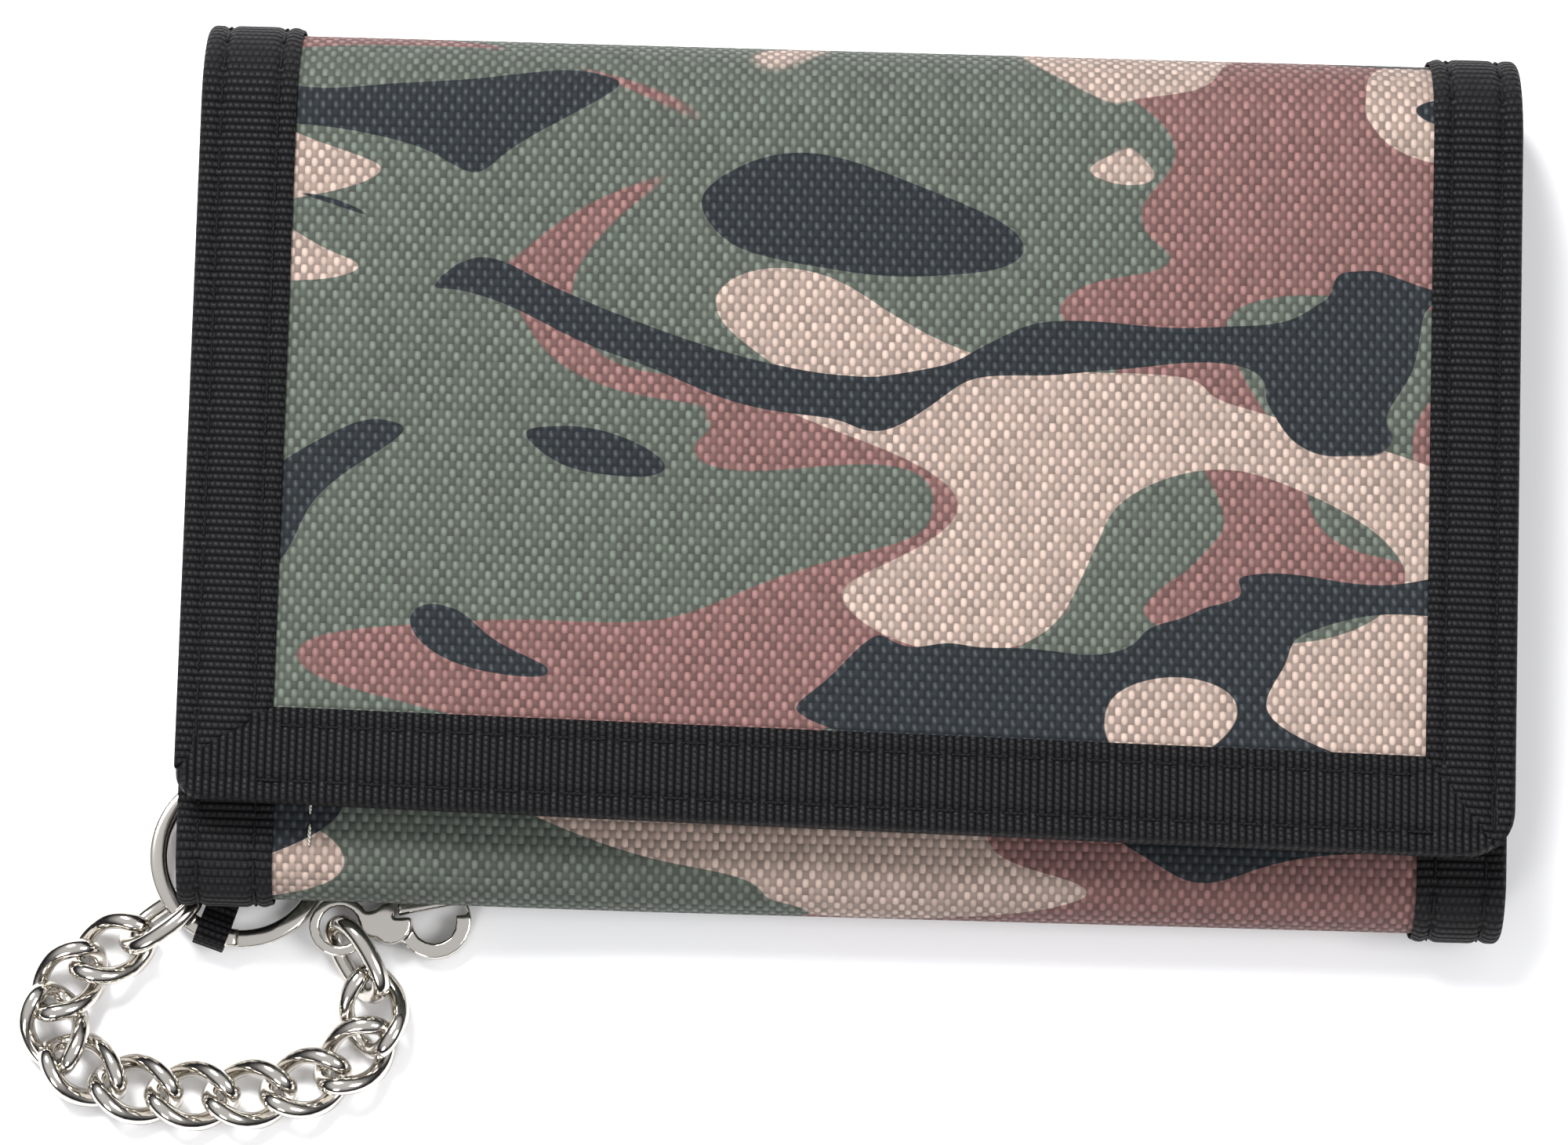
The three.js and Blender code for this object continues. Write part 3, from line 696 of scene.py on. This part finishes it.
# ---- tape ----
def tape_section(near, far, width, left):
    """Points (x, d, length) across a folded tape, from its inside lip round the edge to its outside lip."""
    corner = 0.75
    side = -1 if left else 1
    grooves = (2.0, width - 1.75)

    def height(inset):
        dip = sum(math.exp(-(((inset - g) / 0.42) ** 2)) for g in grooves)
        lip = math.exp(-(((width - inset) / 0.5) ** 2)) * 0.3
        return -0.34 * dip - lip + 0.1

    points = []
    rows = 26
    for k in range(rows + 1):
        inset = width - (width - corner) * k / rows
        points.append((EDGE - inset, near - height(inset)))
    turns = 5
    for base_d, direction in ((near, -1), (far, 1)):
        for k in range(1, turns + 1):
            angle = math.pi / 2 * k / turns
            across, up = corner * math.sin(angle), corner * math.cos(angle)
            if direction < 0:
                points.append((EDGE - corner + across, base_d - 0.1 + corner - up))
            else:
                points.append((EDGE - corner + up, base_d + 0.1 - corner + across))
    for k in range(1, rows + 1):
        inset = corner + (width - corner) * k / rows
        points.append((EDGE - inset, far + height(inset)))
    along, total = [0.0], 0.0
    for a, b in zip(points, points[1:]):
        total += math.hypot(b[0] - a[0], b[1] - a[1])
        along.append(total)
    return [(side * x, d, length) for (x, d), length in zip(points, along)]


def interpolate(section, u):
    k = u * (len(section) - 1)
    i = min(int(k), len(section) - 2)
    t = k - i
    return [a + (b - a) * t for a, b in zip(section[i], section[i + 1])]


def side_tape(run, left, mitre):
    """The tape along one side of one run. Its end on a free edge is cut slanting where mitre says."""
    start, stop = RUNS[run]["from"], RUNS[run]["to"]
    width = (sizes().tape_left if left else sizes().tape_right) / MM
    near = TAPE_INSIDE if left else TAPE_INSIDE_RIGHT
    section = tape_section(near, 1.1, width, left)
    steps = len(section) - 1

    def place(u, v):
        x, d, across = interpolate(section, u)
        inset = EDGE - abs(x)
        first, last = start, stop
        cut = mitre(inset) if mitre else 0.0
        if run == "inner":
            first += cut
        if run == "flap":
            last -= cut
        s = first + (last - first) * v
        lip = 0.0
        if mitre and d > 0:
            ending = (s - first) if run == "inner" else (last - s)
            lip = 0.28 * math.exp(-((ending / 0.45) ** 2))
        return spot(x, s, d - lip), (across * MM, s * MM)

    side = "left" if left else "right"
    middle = (start + stop) / 2
    reference = outward_at(section[-8][0], middle)
    piece = grid_piece(
        f"{run}_{side}_tape", steps, 110, place,
        (spot(section[-8][0], middle, 1.1), reference[1]), "binding_tape",
    )
    thicken(piece, 0.5 * sizes().tape, 0.08 * MM)
    finish_with(piece, "binding tape")
    bend(piece)
    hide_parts(*(f"{part}_binding_{side}" for part in RUNS[run]["nodes"]))
    return piece


def end_tape(run, left_radius, right_radius):
    """The tape folded over a free end, with rounded corners and closed ends."""
    width = sizes().tape_end / MM
    section = tape_section(TAPE_INSIDE, TAPE_OUTSIDE, width, False)
    flap = run == "flap"
    free = S_END if flap else 0.0

    def place(u, v):
        back, d, across = interpolate(section, u)
        inset = EDGE - back
        t = 2 * v - 1
        half = EDGE - 0.12 - rounding(inset, left_radius if t < 0 else right_radius)
        # the last steps are close together, to close the tape's ends
        x = half * math.copysign(1 - (1 - abs(t)) ** 1.25, t)
        nose = max((abs(x) - (half - 1.1)) / 1.1, 0)
        middle_d = TAPE_MIDDLE
        d = middle_d + (d - middle_d) * math.sqrt(max(1 - nose * nose * 0.985, 0))
        if abs(x) > EDGE - 10:
            d -= math.copysign(0.16, d - middle_d)
        s = free - inset if flap else free + inset
        return spot(x, s, d), (across * MM, x * MM)

    sample_s = free - 5 if flap else free + 5
    reference = outward_at(0, sample_s)
    piece = grid_piece(
        f"{run}_end_tape", len(section) - 1, 150, place,
        (spot(0, sample_s, 1.1), reference[1]), "binding_tape",
    )
    thicken(piece, 0.5 * sizes().tape, 0.08 * MM)
    finish_with(piece, "binding tape")
    fit(piece, "flap" if flap else "inner_panel", f"{run}_binding_end")
    return piece


def mouth_tape(run, s_from, s_to):
    """The narrow tape over the lining's open edge, where the notes go in."""
    points = [(LINING_RIGHT - 8, MOUTH_INSIDE), (LINING_RIGHT - 0.5, MOUTH_INSIDE), (LINING_RIGHT, -2.1)]
    points += [(LINING_RIGHT, -1.3), (LINING_RIGHT - 0.5, MOUTH_OUTSIDE), (LINING_RIGHT - 8, MOUTH_OUTSIDE)]
    lengths = [0.0]
    for a, b in zip(points, points[1:]):
        lengths.append(lengths[-1] + math.hypot(b[0] - a[0], b[1] - a[1]))
    section = [(x, d, length) for (x, d), length in zip(points, lengths)]

    def place(u, v):
        x, d, across = interpolate(section, u)
        s = s_from + (s_to - s_from) * v
        return spot(x, s, d), (across * MM, s * MM)

    middle = (s_from + s_to) / 2
    reference = outward_at(LINING_RIGHT - 4, middle)
    piece = grid_piece(
        f"{run}_mouth_tape", 30, 60, place,
        (spot(LINING_RIGHT - 4, middle, MOUTH_INSIDE), -reference[1]), "binding_tape",
    )
    thicken(piece, 0.25 * MM, 0.05 * MM)
    finish_with(piece, "binding tape")
    bend(piece)
    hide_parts(f"{run}_mouth_binding")
    return piece


def left_mitre(inset):
    """How far the left tape's slanting end stops short of the free end."""
    return max(2.8 + 6.1 * min(max(inset / 9.1, 0), 1), rounding(inset, LEFT_CORNER))


def right_mitre(inset):
    """How far the right tape's slanting end stops short of the free end."""
    return max(-1.5 + 1.226 * min(max(inset, 0), 8.5), rounding(inset, RIGHT_CORNER), 0.3)


def make_tapes():
    made = {run: [] for run in RUNS}
    for run in RUNS:
        made[run].append(side_tape(run, True, left_mitre if run != "back" else None))
        made[run].append(side_tape(run, False, right_mitre if run != "back" else None))
    made["flap"].append(end_tape("flap", LEFT_CORNER, RIGHT_CORNER))
    made["inner"].append(end_tape("inner", LEFT_CORNER, RIGHT_CORNER))
    made["inner"].append(mouth_tape("inner", 9.0, S_BOTTOM_MIDDLE))
    made["back"].append(mouth_tape("back", S_BOTTOM_MIDDLE, S_TOP_MIDDLE))
    made["flap"].append(mouth_tape("flap", S_TOP_MIDDLE, S_END - 9.0))
    return made


# ---- stitching ----
def add_stitch(bm, middle, along, up, length, thick):
    """One stitch: a short length of thread whose ends dive into the tape."""
    along = along.normalized()
    side = up.cross(along).normalized()
    up = along.cross(side)
    made = bmesh.ops.create_uvsphere(bm, u_segments=8, v_segments=6, radius=0.5)
    basis = Matrix((along * length, side * thick, up * thick)).transposed()
    turn = Matrix.Rotation(math.pi / 2, 3, "Y")
    for vert in made["verts"]:
        vert.co = basis @ (turn @ vert.co) + middle


def seam_row(bm, start, stop, at):
    """A row of stitches on a line: at(t) gives a point on the tape and the point just above it."""
    length = stop - start
    count = max(int(abs(length) / (sizes().stitch / MM)), 1)
    for k in range(count):
        t = start + length * (k + 0.5) / count
        here, above = at(t)
        along = at(t + 0.5)[0] - at(t - 0.5)[0]
        add_stitch(bm, here, along, above - here, 0.8 * sizes().stitch, sizes().thread)


def make_stitching():
    made = {}
    for run, limits in RUNS.items():
        bm = bmesh.new()
        start, stop = limits["from"] + 0.3, limits["to"] - 0.3
        for side, width in ((-1, sizes().tape_left / MM), (1, sizes().tape_right / MM)):
            mitre = left_mitre if side < 0 else right_mitre
            for inset in (2.0, width - 1.75):
                cut = mitre(inset) + 0.8 if run != "back" else 0.0
                first = start + cut if run == "inner" else start
                last = stop - cut if run == "flap" else stop
                x = side * (EDGE - inset)
                seam_row(bm, first, last, lambda s, x=x: (spot(x, s, 0.95), spot(x, s, 1.95)))
                inside = -2.6 if side < 0 else -1.0
                seam_row(bm, first, last, lambda s, x=x, d=inside: (spot(x, s, d), spot(x, s, d - 1)))
        if run != "back":
            free = S_END if run == "flap" else 0.0
            way = -1 if run == "flap" else 1
            for inset in (2.0, sizes().tape_end / MM - 1.75):
                s = free + way * inset
                reach = 56.0 - inset * 0.4
                seam_row(bm, -reach, reach, lambda x, s=s: (spot(x, s, 0.9), spot(x, s, 1.9)))
                seam_row(bm, -reach, reach, lambda x, s=s: (spot(x, s, -2.6), spot(x, s, -3.6)))
        piece = new_piece(run + "_stitching", bm, "binding_tape")
        finish_with(piece, "thread")
        bend(piece)
        made[run] = piece
    bm = bmesh.new()
    for s in (69.6, 72.6):
        here, above = spot(TACK_X, s, TACK_OUT), spot(TACK_X, s, TACK_OUT + 1)
        add_stitch(bm, here, spot(TACK_X, s + 1, TACK_OUT) - here, above - here, 2.2 * MM, 0.34 * MM)
    piece = new_piece("inner_tack_stitches", bm, "binding_tape")
    finish_with(piece, "pale thread")
    bend(piece)
    made["tack"] = piece
    return made


# ---- the inside pieces ----
def flat_piece(name, x0, x1, y0, y1, z, up, thickness, material, on_flap=False, wave=0.0):
    """A flat layer inside the wallet, with a slight wave."""
    across, along = max(int((x1 - x0) / 2), 8), max(int((y1 - y0) / 2), 6)

    def place(u, v):
        x, y = x0 + (x1 - x0) * u, y0 + (y1 - y0) * v
        ripple = wave * math.sin(0.16 * x + 0.5) * math.sin(0.12 * y + 1.0)
        height = z + ripple
        shown = y + skew(x, y) if on_flap else y
        return Vector((x, shown, height + lift(x, shown) * (1 - height / THICKNESS))) * MM, (x * MM, y * MM)

    middle = place(0.5, 0.5)[0]
    slot = material.replace(" ", "_")
    piece = grid_piece(name, across, along, place, (middle, Vector((0, 0, up))), slot)
    thicken(piece, thickness * MM, 0.06 * MM)
    return finish_with(piece, material)


def make_pockets():
    window = flat_piece("id_window_vinyl", -50.5, 38.5, -27, 27, 3.78, 1, 0.25, "clear vinyl")
    fit(window, "back", "id_window")
    sides = {
        "lower": (-52.5, 40.5, -29, -23), "upper": (-52.5, 40.5, 23, 29),
        "left": (-52.5, -46.5, -23.1, 23.1), "right": (34.5, 40.5, -23.1, 23.1),
    }
    for side, (x0, x1, y0, y1) in sides.items():
        strip = flat_piece(f"window_edge_{side}", x0, x1, y0, y1, 4.68, 1, 0.5, "binding tape")
        fit(strip, "back", "id_window_frame")
    for i in range(3):
        z = 8.6 - 1.1 * i - 0.6
        top = 27 - 10 * i
        name = f"card_pocket_cloth_{i + 1}"
        pocket = flat_piece(name, *POCKET, -31, top, z, -1, 0.45, "lining", wave=0.03)
        fit(pocket, "inner_panel", f"card_pocket_{i + 1}")
        name = f"card_pocket_hem_{i + 1}"
        hem = flat_piece(name, *POCKET, top - 5, top + 0.1, z - 0.12, -1, 0.3, "binding tape")
        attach(hem, "inner_panel")


def make_coin_pocket():
    lower = flat_piece(
        "coin_pocket_front", -50, 40, -3, 20.5, COIN_Z, -1, 0.45, "lining", on_flap=True, wave=0.05
    )
    upper = flat_piece("coin_pocket_top", -50, 40, 26.5, 30, COIN_Z, -1, 0.45, "lining", on_flap=True)
    for piece in (lower, upper):
        fit(piece, "flap", "coin_pocket")
    for name, box in (("left", (-50, -43.9, 20.4, 26.6)), ("right", (33.9, 40, 20.4, 26.6))):
        wall = flat_piece(f"coin_pocket_{name}", *box, COIN_Z, -1, 0.45, "lining", on_flap=True)
        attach(wall, "flap")
    for name, y0, y1 in (("upper", 25.0, 26.4), ("lower", 20.6, 22.0)):
        strip = flat_piece(
            f"zip_{name}_tape", -43.7, 33.7, y0, y1, COIN_Z + 0.05, -1, 0.35, "binding tape",
            on_flap=True,
        )
        fit(strip, "flap", f"zip_tape_{name}")


def rounded_cube(bm, centre, half, bevel):
    made = bmesh.ops.create_cube(bm, size=2.0)
    bmesh.ops.scale(bm, vec=half, verts=made["verts"])
    bmesh.ops.translate(bm, vec=centre, verts=made["verts"])
    edges = list({e for v in made["verts"] for e in v.link_edges})
    bmesh.ops.bevel(
        bm, geom=edges, offset=bevel, offset_type="OFFSET", segments=1, profile=0.5, affect="EDGES",
        material=-1,
    )


def make_zip():
    bm = bmesh.new()
    pitch = 1.25
    count = int((33.0 + 43.0) / pitch)
    for i in range(count):
        x = -42.6 + i * pitch
        side = 1 if i % 2 else -1
        centre = Vector((x, ZIP_Y + side * 0.42, 14.1)) * MM
        rounded_cube(bm, centre, Vector((0.42, 0.78, 0.5)) * MM, 0.14 * MM)
    teeth = new_piece("zip_closed_teeth", bm, "nickel", smooth=False)
    finish_with(teeth, "nickel")
    fit(teeth, "flap", "zip_teeth")
    for source, bevel in (("zip_slider", 0.22), ("zip_pull", 0.16)):
        piece = from_cad(source, source + "_cast", "nickel")
        edges = piece.modifiers.new("Cast edges", "BEVEL")
        edges.width = bevel * MM
        edges.segments = 3
        edges.limit_method = "ANGLE"
        finish_with(piece, "nickel")
        fit(piece, "zip", source)


def from_cad(source, name, slot):
    """A merged copy of a CAD node, to be given rounded edges."""
    bm = bmesh.new()
    bm.from_mesh(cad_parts[source].data)
    bmesh.ops.remove_doubles(bm, verts=bm.verts, dist=1e-6)
    bmesh.ops.dissolve_limit(bm, angle_limit=math.radians(2), verts=bm.verts, edges=bm.edges)
    bmesh.ops.recalc_face_normals(bm, faces=bm.faces)
    return new_piece(name, bm, slot)


def make_strips():
    hook = flat_piece("hook_tape", *STRIP, 12.95, -1, 1.9, "hook and loop", on_flap=True)
    fit(hook, "flap", "hook_strip")
    loop = flat_piece("loop_tape", *STRIP, 12.55, 1, 0.9, "hook and loop", wave=0.02)
    fit(loop, "inner_panel", "loop_strip")


# ---- metal ----
def ring_plane(turned=0.0):
    """The split ring's own plane: X points to where the chain starts, and rises that way."""
    heading = math.radians(RING["towards"])
    lean = -math.radians(RING["tilt"])
    return (
        Matrix.Translation(Vector((RING["x"], RING["y"], RING["z"])) * MM)
        @ Matrix.Rotation(heading, 4, "Z")
        @ Matrix.Rotation(lean, 4, "Y")
        @ Matrix.Rotation(math.radians(turned), 4, "Z")
    )


def make_ring():
    """Two turns of flattened wire, one on the other."""
    bm = bmesh.new()
    wire_height, pitch = 0.56, 0.56
    middle = (RING["inner"] + RING["outer"]) / 2
    made = bmesh.ops.create_circle(bm, cap_ends=False, segments=20, radius=1.0)
    for vert in made["verts"]:
        x, y = vert.co.x, vert.co.y
        wide = 0.84 * math.copysign(abs(x) ** 0.75, x)
        high = wire_height / 2 * math.copysign(abs(y) ** 0.75, y)
        vert.co = Vector((middle + wide, 0, high - pitch * 0.97)) * MM
    turns = 1.94
    steps = 150
    edges = list({e for v in made["verts"] for e in v.link_edges})
    first = list(edges)
    spun = bmesh.ops.spin(
        bm, geom=made["verts"] + edges, cent=(0, 0, 0), axis=(0, 0, 1),
        dvec=(0, 0, pitch * MM * turns / steps), angle=turns * 2 * math.pi, steps=steps, use_merge=False,
    )
    last = [g for g in spun["geom_last"] if isinstance(g, bmesh.types.BMEdge)]
    for rim in (first, last):
        bmesh.ops.contextual_create(bm, geom=[e for e in rim if e.is_valid])
    bmesh.ops.recalc_face_normals(bm, faces=bm.faces)
    bmesh.ops.transform(bm, matrix=ring_plane(70), verts=bm.verts)
    piece = new_piece("split_ring_wire", bm, "nickel")
    finish_with(piece, "nickel")
    fit(piece, "ring", "split_ring")
    return piece


def make_tab():
    """A loop of tape that holds the ring at the corner."""
    path = [(2.2, 0.42), (4.6, 0.44), (6.1, 0.62), (6.75, 1.2), (7.8, 1.5), (8.9, 1.15), (9.3, 0.2)]
    path += [(8.9, -0.95), (7.8, -1.35), (6.75, -1.05), (6.1, -0.3), (4.6, -0.12), (2.2, -0.12)]
    lengths = [0.0]
    for a, b in zip(path, path[1:]):
        lengths.append(lengths[-1] + math.hypot(b[0] - a[0], b[1] - a[1]))
    section = [(r, z, length) for (r, z), length in zip(path, lengths)]
    plane = ring_plane(TAB_TOWARDS - RING["towards"])

    def place(u, v):
        r, z, across = interpolate(section, v)
        return plane @ (Vector((r, 3.0 * (u - 0.5), z)) * MM), (3.0 * u * MM, across * MM)

    reference = plane @ (Vector((7.8, 0, 1.5)) * MM)
    piece = grid_piece("corner_loop", 6, 72, place, (reference, Vector((0, 0, 1))), "binding_tape")
    thicken(piece, 0.38 * MM, 0.06 * MM)
    finish_with(piece, "binding tape")
    fit(piece, "back", "corner_tab")
    return piece


def catmull(points, count):
    """Evenly spaced points on a centripetal curve through the given ones."""
    ends = [points[0] * 2 - points[1], *points, points[-1] * 2 - points[-2]]
    dense = []
    for p0, p1, p2, p3 in zip(ends, ends[1:], ends[2:], ends[3:]):
        t1 = (p1 - p0).length ** 0.5
        t2 = t1 + (p2 - p1).length ** 0.5
        t3 = t2 + (p3 - p2).length ** 0.5
        for k in range(24):
            t = t1 + (t2 - t1) * k / 24
            a1 = p0 * ((t1 - t) / t1) + p1 * (t / t1)
            a2 = p1 * ((t2 - t) / (t2 - t1)) + p2 * ((t - t1) / (t2 - t1))
            a3 = p2 * ((t3 - t) / (t3 - t2)) + p3 * ((t - t2) / (t3 - t2))
            b1 = a1 * ((t2 - t) / t2) + a2 * (t / t2)
            b2 = a2 * ((t3 - t) / (t3 - t1)) + a3 * ((t - t1) / (t3 - t1))
            dense.append(b1 * ((t2 - t) / (t2 - t1)) + b2 * ((t - t1) / (t2 - t1)))
    dense.append(points[-1])
    lengths = [0.0]
    for a, b in zip(dense, dense[1:]):
        lengths.append(lengths[-1] + (b - a).length)
    even = []
    for k in range(count + 1):
        want = lengths[-1] * k / count
        i = max(j for j, done in enumerate(lengths) if done <= want + 1e-12)
        i = min(i, len(dense) - 2)
        part = (want - lengths[i]) / max(lengths[i + 1] - lengths[i], 1e-12)
        even.append(dense[i].lerp(dense[i + 1], part))
    return even, lengths[-1]


def link_points(start, stop, twist_from, twist_to):
    """The middle line of one curb link, twisted so that its ends cross the next links squarely."""
    along = (stop - start).normalized()
    side = Vector((0, 0, 1)).cross(along).normalized()
    up = along.cross(side)
    centre = (start + stop) / 2
    points = []
    for i in range(40):
        angle = 2 * math.pi * i / 40
        cosine, sine = math.cos(angle), math.sin(angle)
        x = LINK["half_length"] * math.copysign(abs(cosine) ** 0.9, cosine)
        y = LINK["half_width"] * math.copysign(abs(sine) ** 0.8, sine)
        roll = math.radians(twist_from + (twist_to - twist_from) * (x / LINK["half_length"] + 1) / 2)
        points.append(centre + (along * x + side * (y * math.cos(roll)) + up * (y * math.sin(roll))) * MM)
    return points


def make_chain():
    route, length = catmull([Vector(p) * MM for p in ROUTE], 2 * LINKS)
    curve = bpy.data.curves.new("chain", "CURVE")
    curve.dimensions = "3D"
    curve.bevel_depth = sizes().wire / 2
    curve.bevel_resolution = 3
    for i in range(LINKS):
        first, last = i == 0, i == LINKS - 1
        twist = LINK["twist"]
        points = link_points(
            route[2 * i], route[2 * i + 2], twist if first else -twist, -twist if last else twist
        )
        spline = curve.splines.new("POLY")
        spline.points.add(len(points) - 1)
        for point, co in zip(spline.points, points):
            point.co = (*co, 1)
        spline.use_cyclic_u = True
    shape = bpy.data.objects.new("chain_shape", curve)
    bpy.context.scene.collection.objects.link(shape)
    bpy.context.view_layer.update()
    mesh = bpy.data.meshes.new_from_object(shape.evaluated_get(bpy.context.evaluated_depsgraph_get()))
    bpy.data.objects.remove(shape)
    bm = bmesh.new()
    bm.from_mesh(mesh)
    bpy.data.meshes.remove(mesh)
    bmesh.ops.remove_doubles(bm, verts=bm.verts, dist=1e-7)
    bmesh.ops.recalc_face_normals(bm, faces=bm.faces)
    piece = new_piece("curb_chain", bm, "nickel")
    finish_with(piece, "nickel")
    fit(piece, "back", *(f"chain_link_{i + 1:02d}" for i in range(LINKS)))
    return piece, route, length


def make_clasp():
    made = []
    for source, body in (("clasp_claw", "back"), ("clasp_lever", "lever")):
        piece = from_cad(source, source + "_cast", "nickel")
        remesh = piece.modifiers.new("Casting", "REMESH")
        remesh.mode = "VOXEL"
        remesh.voxel_size = 0.14 * MM
        remesh.use_smooth_shade = True
        smooth = piece.modifiers.new("Polished edges", "SMOOTH")
        smooth.factor = 0.5
        smooth.iterations = 8
        finish_with(piece, "nickel")
        fit(piece, body, source)
        made.append(piece)
    return made


# ---- stage ----
def make_stage():
    bm = bmesh.new()
    bmesh.ops.create_grid(bm, x_segments=1, y_segments=1, size=1.5)
    floor = new_piece("floor", bm, "floor")
    floor.pop("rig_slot", None)
    _, tree, shader = new_material("floor")
    at = millimetres(tree, "Object")
    grain = node(tree, "ShaderNodeTexNoise", at, None, 0.02, 2.0)
    base = tuple(colours().floor)
    tint(tree, shader, mix(tree, grain.outputs[0], base, tuple(v * 0.985 for v in base[:3]) + (1,)))
    shader.inputs["Roughness"].default_value = 0.9
    shader.inputs["Specular IOR Level"].default_value = 0.1
    finish_with(floor, "floor")
    for name, place, power, across in (
        ("key", (-0.28, 0.45, 0.72), 13.5, 0.30),
        ("fill", (0.55, -0.15, 0.75), 4.2, 0.4),
        ("front", (-0.25, -0.62, 0.40), 2.0, 0.22),
    ):
        light = bpy.data.lights.new(name, "AREA")
        light.energy = power
        light.size = across
        lamp = bpy.data.objects.new(name, light)
        lamp.location = place
        lamp.rotation_euler = (-Vector(place)).to_track_quat("-Z", "Y").to_euler()
        bpy.context.scene.collection.objects.link(lamp)
    world = bpy.data.worlds.new("studio")
    world.use_nodes = True
    sky = world.node_tree
    around = sky.nodes.new("ShaderNodeTexCoord")
    apart = node(sky, "ShaderNodeSeparateXYZ", around.outputs["Generated"])
    glow = mix(sky, step(sky, apart.outputs[2], 0.25, 0.85), (0.03, 0.03, 0.035, 1), (1.0, 1.0, 1.02, 1))
    sky.links.new(glow, sky.nodes["Background"].inputs[0])
    sky.nodes["Background"].inputs[1].default_value = 0.75
    bpy.context.scene.world = world
    bpy.context.scene.view_settings.view_transform = "Standard"


def make_camera():
    aim = Vector((-6.2, -9.4, 12.0)) * MM
    distance, elevation, roll = 0.566, 82.5, -1.6
    lens = bpy.data.cameras.new("camera")
    lens.sensor_width = 36.0
    lens.lens = 36.0 * distance / CAMERA_WIDTH
    camera = bpy.data.objects.new("camera", lens)
    tilt = math.radians(elevation)
    camera.location = aim + Vector((0, -math.cos(tilt), math.sin(tilt))) * distance
    turned = (aim - camera.location).to_track_quat("-Z", "Y").to_matrix().to_4x4()
    camera.rotation_euler = (turned @ Matrix.Rotation(math.radians(-roll), 4, "Z")).to_euler()
    bpy.context.scene.collection.objects.link(camera)
    bpy.context.scene.camera = camera


class WALLET_OT_materials(bpy.types.Operator):
    """Make the cloth, tape, lining, thread, vinyl and metal materials"""

    bl_idname = "wallet.materials"
    bl_label = "Materials"

    def execute(self, context):
        make_materials()
        return {"FINISHED"}


class WALLET_OT_cloth(bpy.types.Operator):
    """Make the printed cloth and the lining, folded in three"""

    bl_idname = "wallet.cloth"
    bl_label = "Cloth and lining"

    def execute(self, context):
        make_cloth()
        return {"FINISHED"}


class WALLET_OT_tapes(bpy.types.Operator):
    bl_idname = "wallet.tapes"
    bl_label = "Binding tapes"

    def execute(self, context):
        tapes = make_tapes()
        return {"FINISHED"}


class WALLET_OT_stitching(bpy.types.Operator):
    """Sew the two rows of stitches along each tape"""

    bl_idname = "wallet.stitching"
    bl_label = "Stitching"

    def execute(self, context):
        make_stitching()
        return {"FINISHED"}


class WALLET_OT_pockets(bpy.types.Operator):
    """Make the card pockets and the window pocket"""

    bl_idname = "wallet.pockets"
    bl_label = "Pockets"

    def execute(self, context):
        make_pockets()
        return {"FINISHED"}


class WALLET_OT_coin_pocket(bpy.types.Operator):
    """Make the coin pocket and its zip"""

    bl_idname = "wallet.coin_pocket"
    bl_label = "Coin pocket and zip"

    def execute(self, context):
        make_coin_pocket()
        make_zip()
        return {"FINISHED"}


class WALLET_OT_strips(bpy.types.Operator):
    """Make the hook strip and the loop strip that close the flap"""

    bl_idname = "wallet.strips"
    bl_label = "Hook and loop strips"

    def execute(self, context):
        make_strips()
        return {"FINISHED"}


class WALLET_OT_chain(bpy.types.Operator):
    """Make the split ring, its loop of tape, the curb chain and the clasp"""

    bl_idname = "wallet.chain"
    bl_label = "Ring, chain and clasp"

    def execute(self, context):
        chain, route, length = make_chain()
        others = [make_ring(), make_tab(), *make_clasp()]
        return {"FINISHED"}


class WALLET_OT_stage(bpy.types.Operator):
    """Set up the floor, the lights and the camera"""

    bl_idname = "wallet.stage"
    bl_label = "Stage"

    def execute(self, context):
        make_stage()
        make_camera()
        return {"FINISHED"}


OPERATORS = (
    WALLET_OT_materials,
    WALLET_OT_stage,
    WALLET_OT_chain,
    WALLET_OT_cloth,
    WALLET_OT_tapes,
    WALLET_OT_stitching,
    WALLET_OT_pockets,
    WALLET_OT_coin_pocket,
    WALLET_OT_strips,
)


class WALLET_PT_panel(bpy.types.Panel):
    """Sizes, colours and the pieces in the order that they are made"""

    bl_label = "Trifold wallet"
    bl_idname = "WALLET_PT_panel"
    bl_space_type = "VIEW_3D"
    bl_region_type = "UI"
    bl_category = "Wallet"

    def draw(self, context):
        for group in (context.scene.wallet_sizes, context.scene.wallet_colours):
            column = self.layout.column(align=True)
            for name in group.__annotations__:
                column.prop(group, name)
        for operator in OPERATORS:
            self.layout.operator(operator.bl_idname)


CLASSES = (WalletSizes, WalletColours, *OPERATORS, WALLET_PT_panel)


def register():
    for cls in CLASSES:
        bpy.utils.register_class(cls)
    bpy.types.Scene.wallet_sizes = bpy.props.PointerProperty(type=WalletSizes)
    bpy.types.Scene.wallet_colours = bpy.props.PointerProperty(type=WalletColours)


def unregister():
    del bpy.types.Scene.wallet_colours
    del bpy.types.Scene.wallet_sizes
    for cls in reversed(CLASSES):
        bpy.utils.unregister_class(cls)


def main():
    register()
    for operator in OPERATORS:
        group, name = operator.bl_idname.split(".")
        getattr(getattr(bpy.ops, group), name)()
    bpy.context.view_layer.update()


if __name__ == "__main__":
    main()
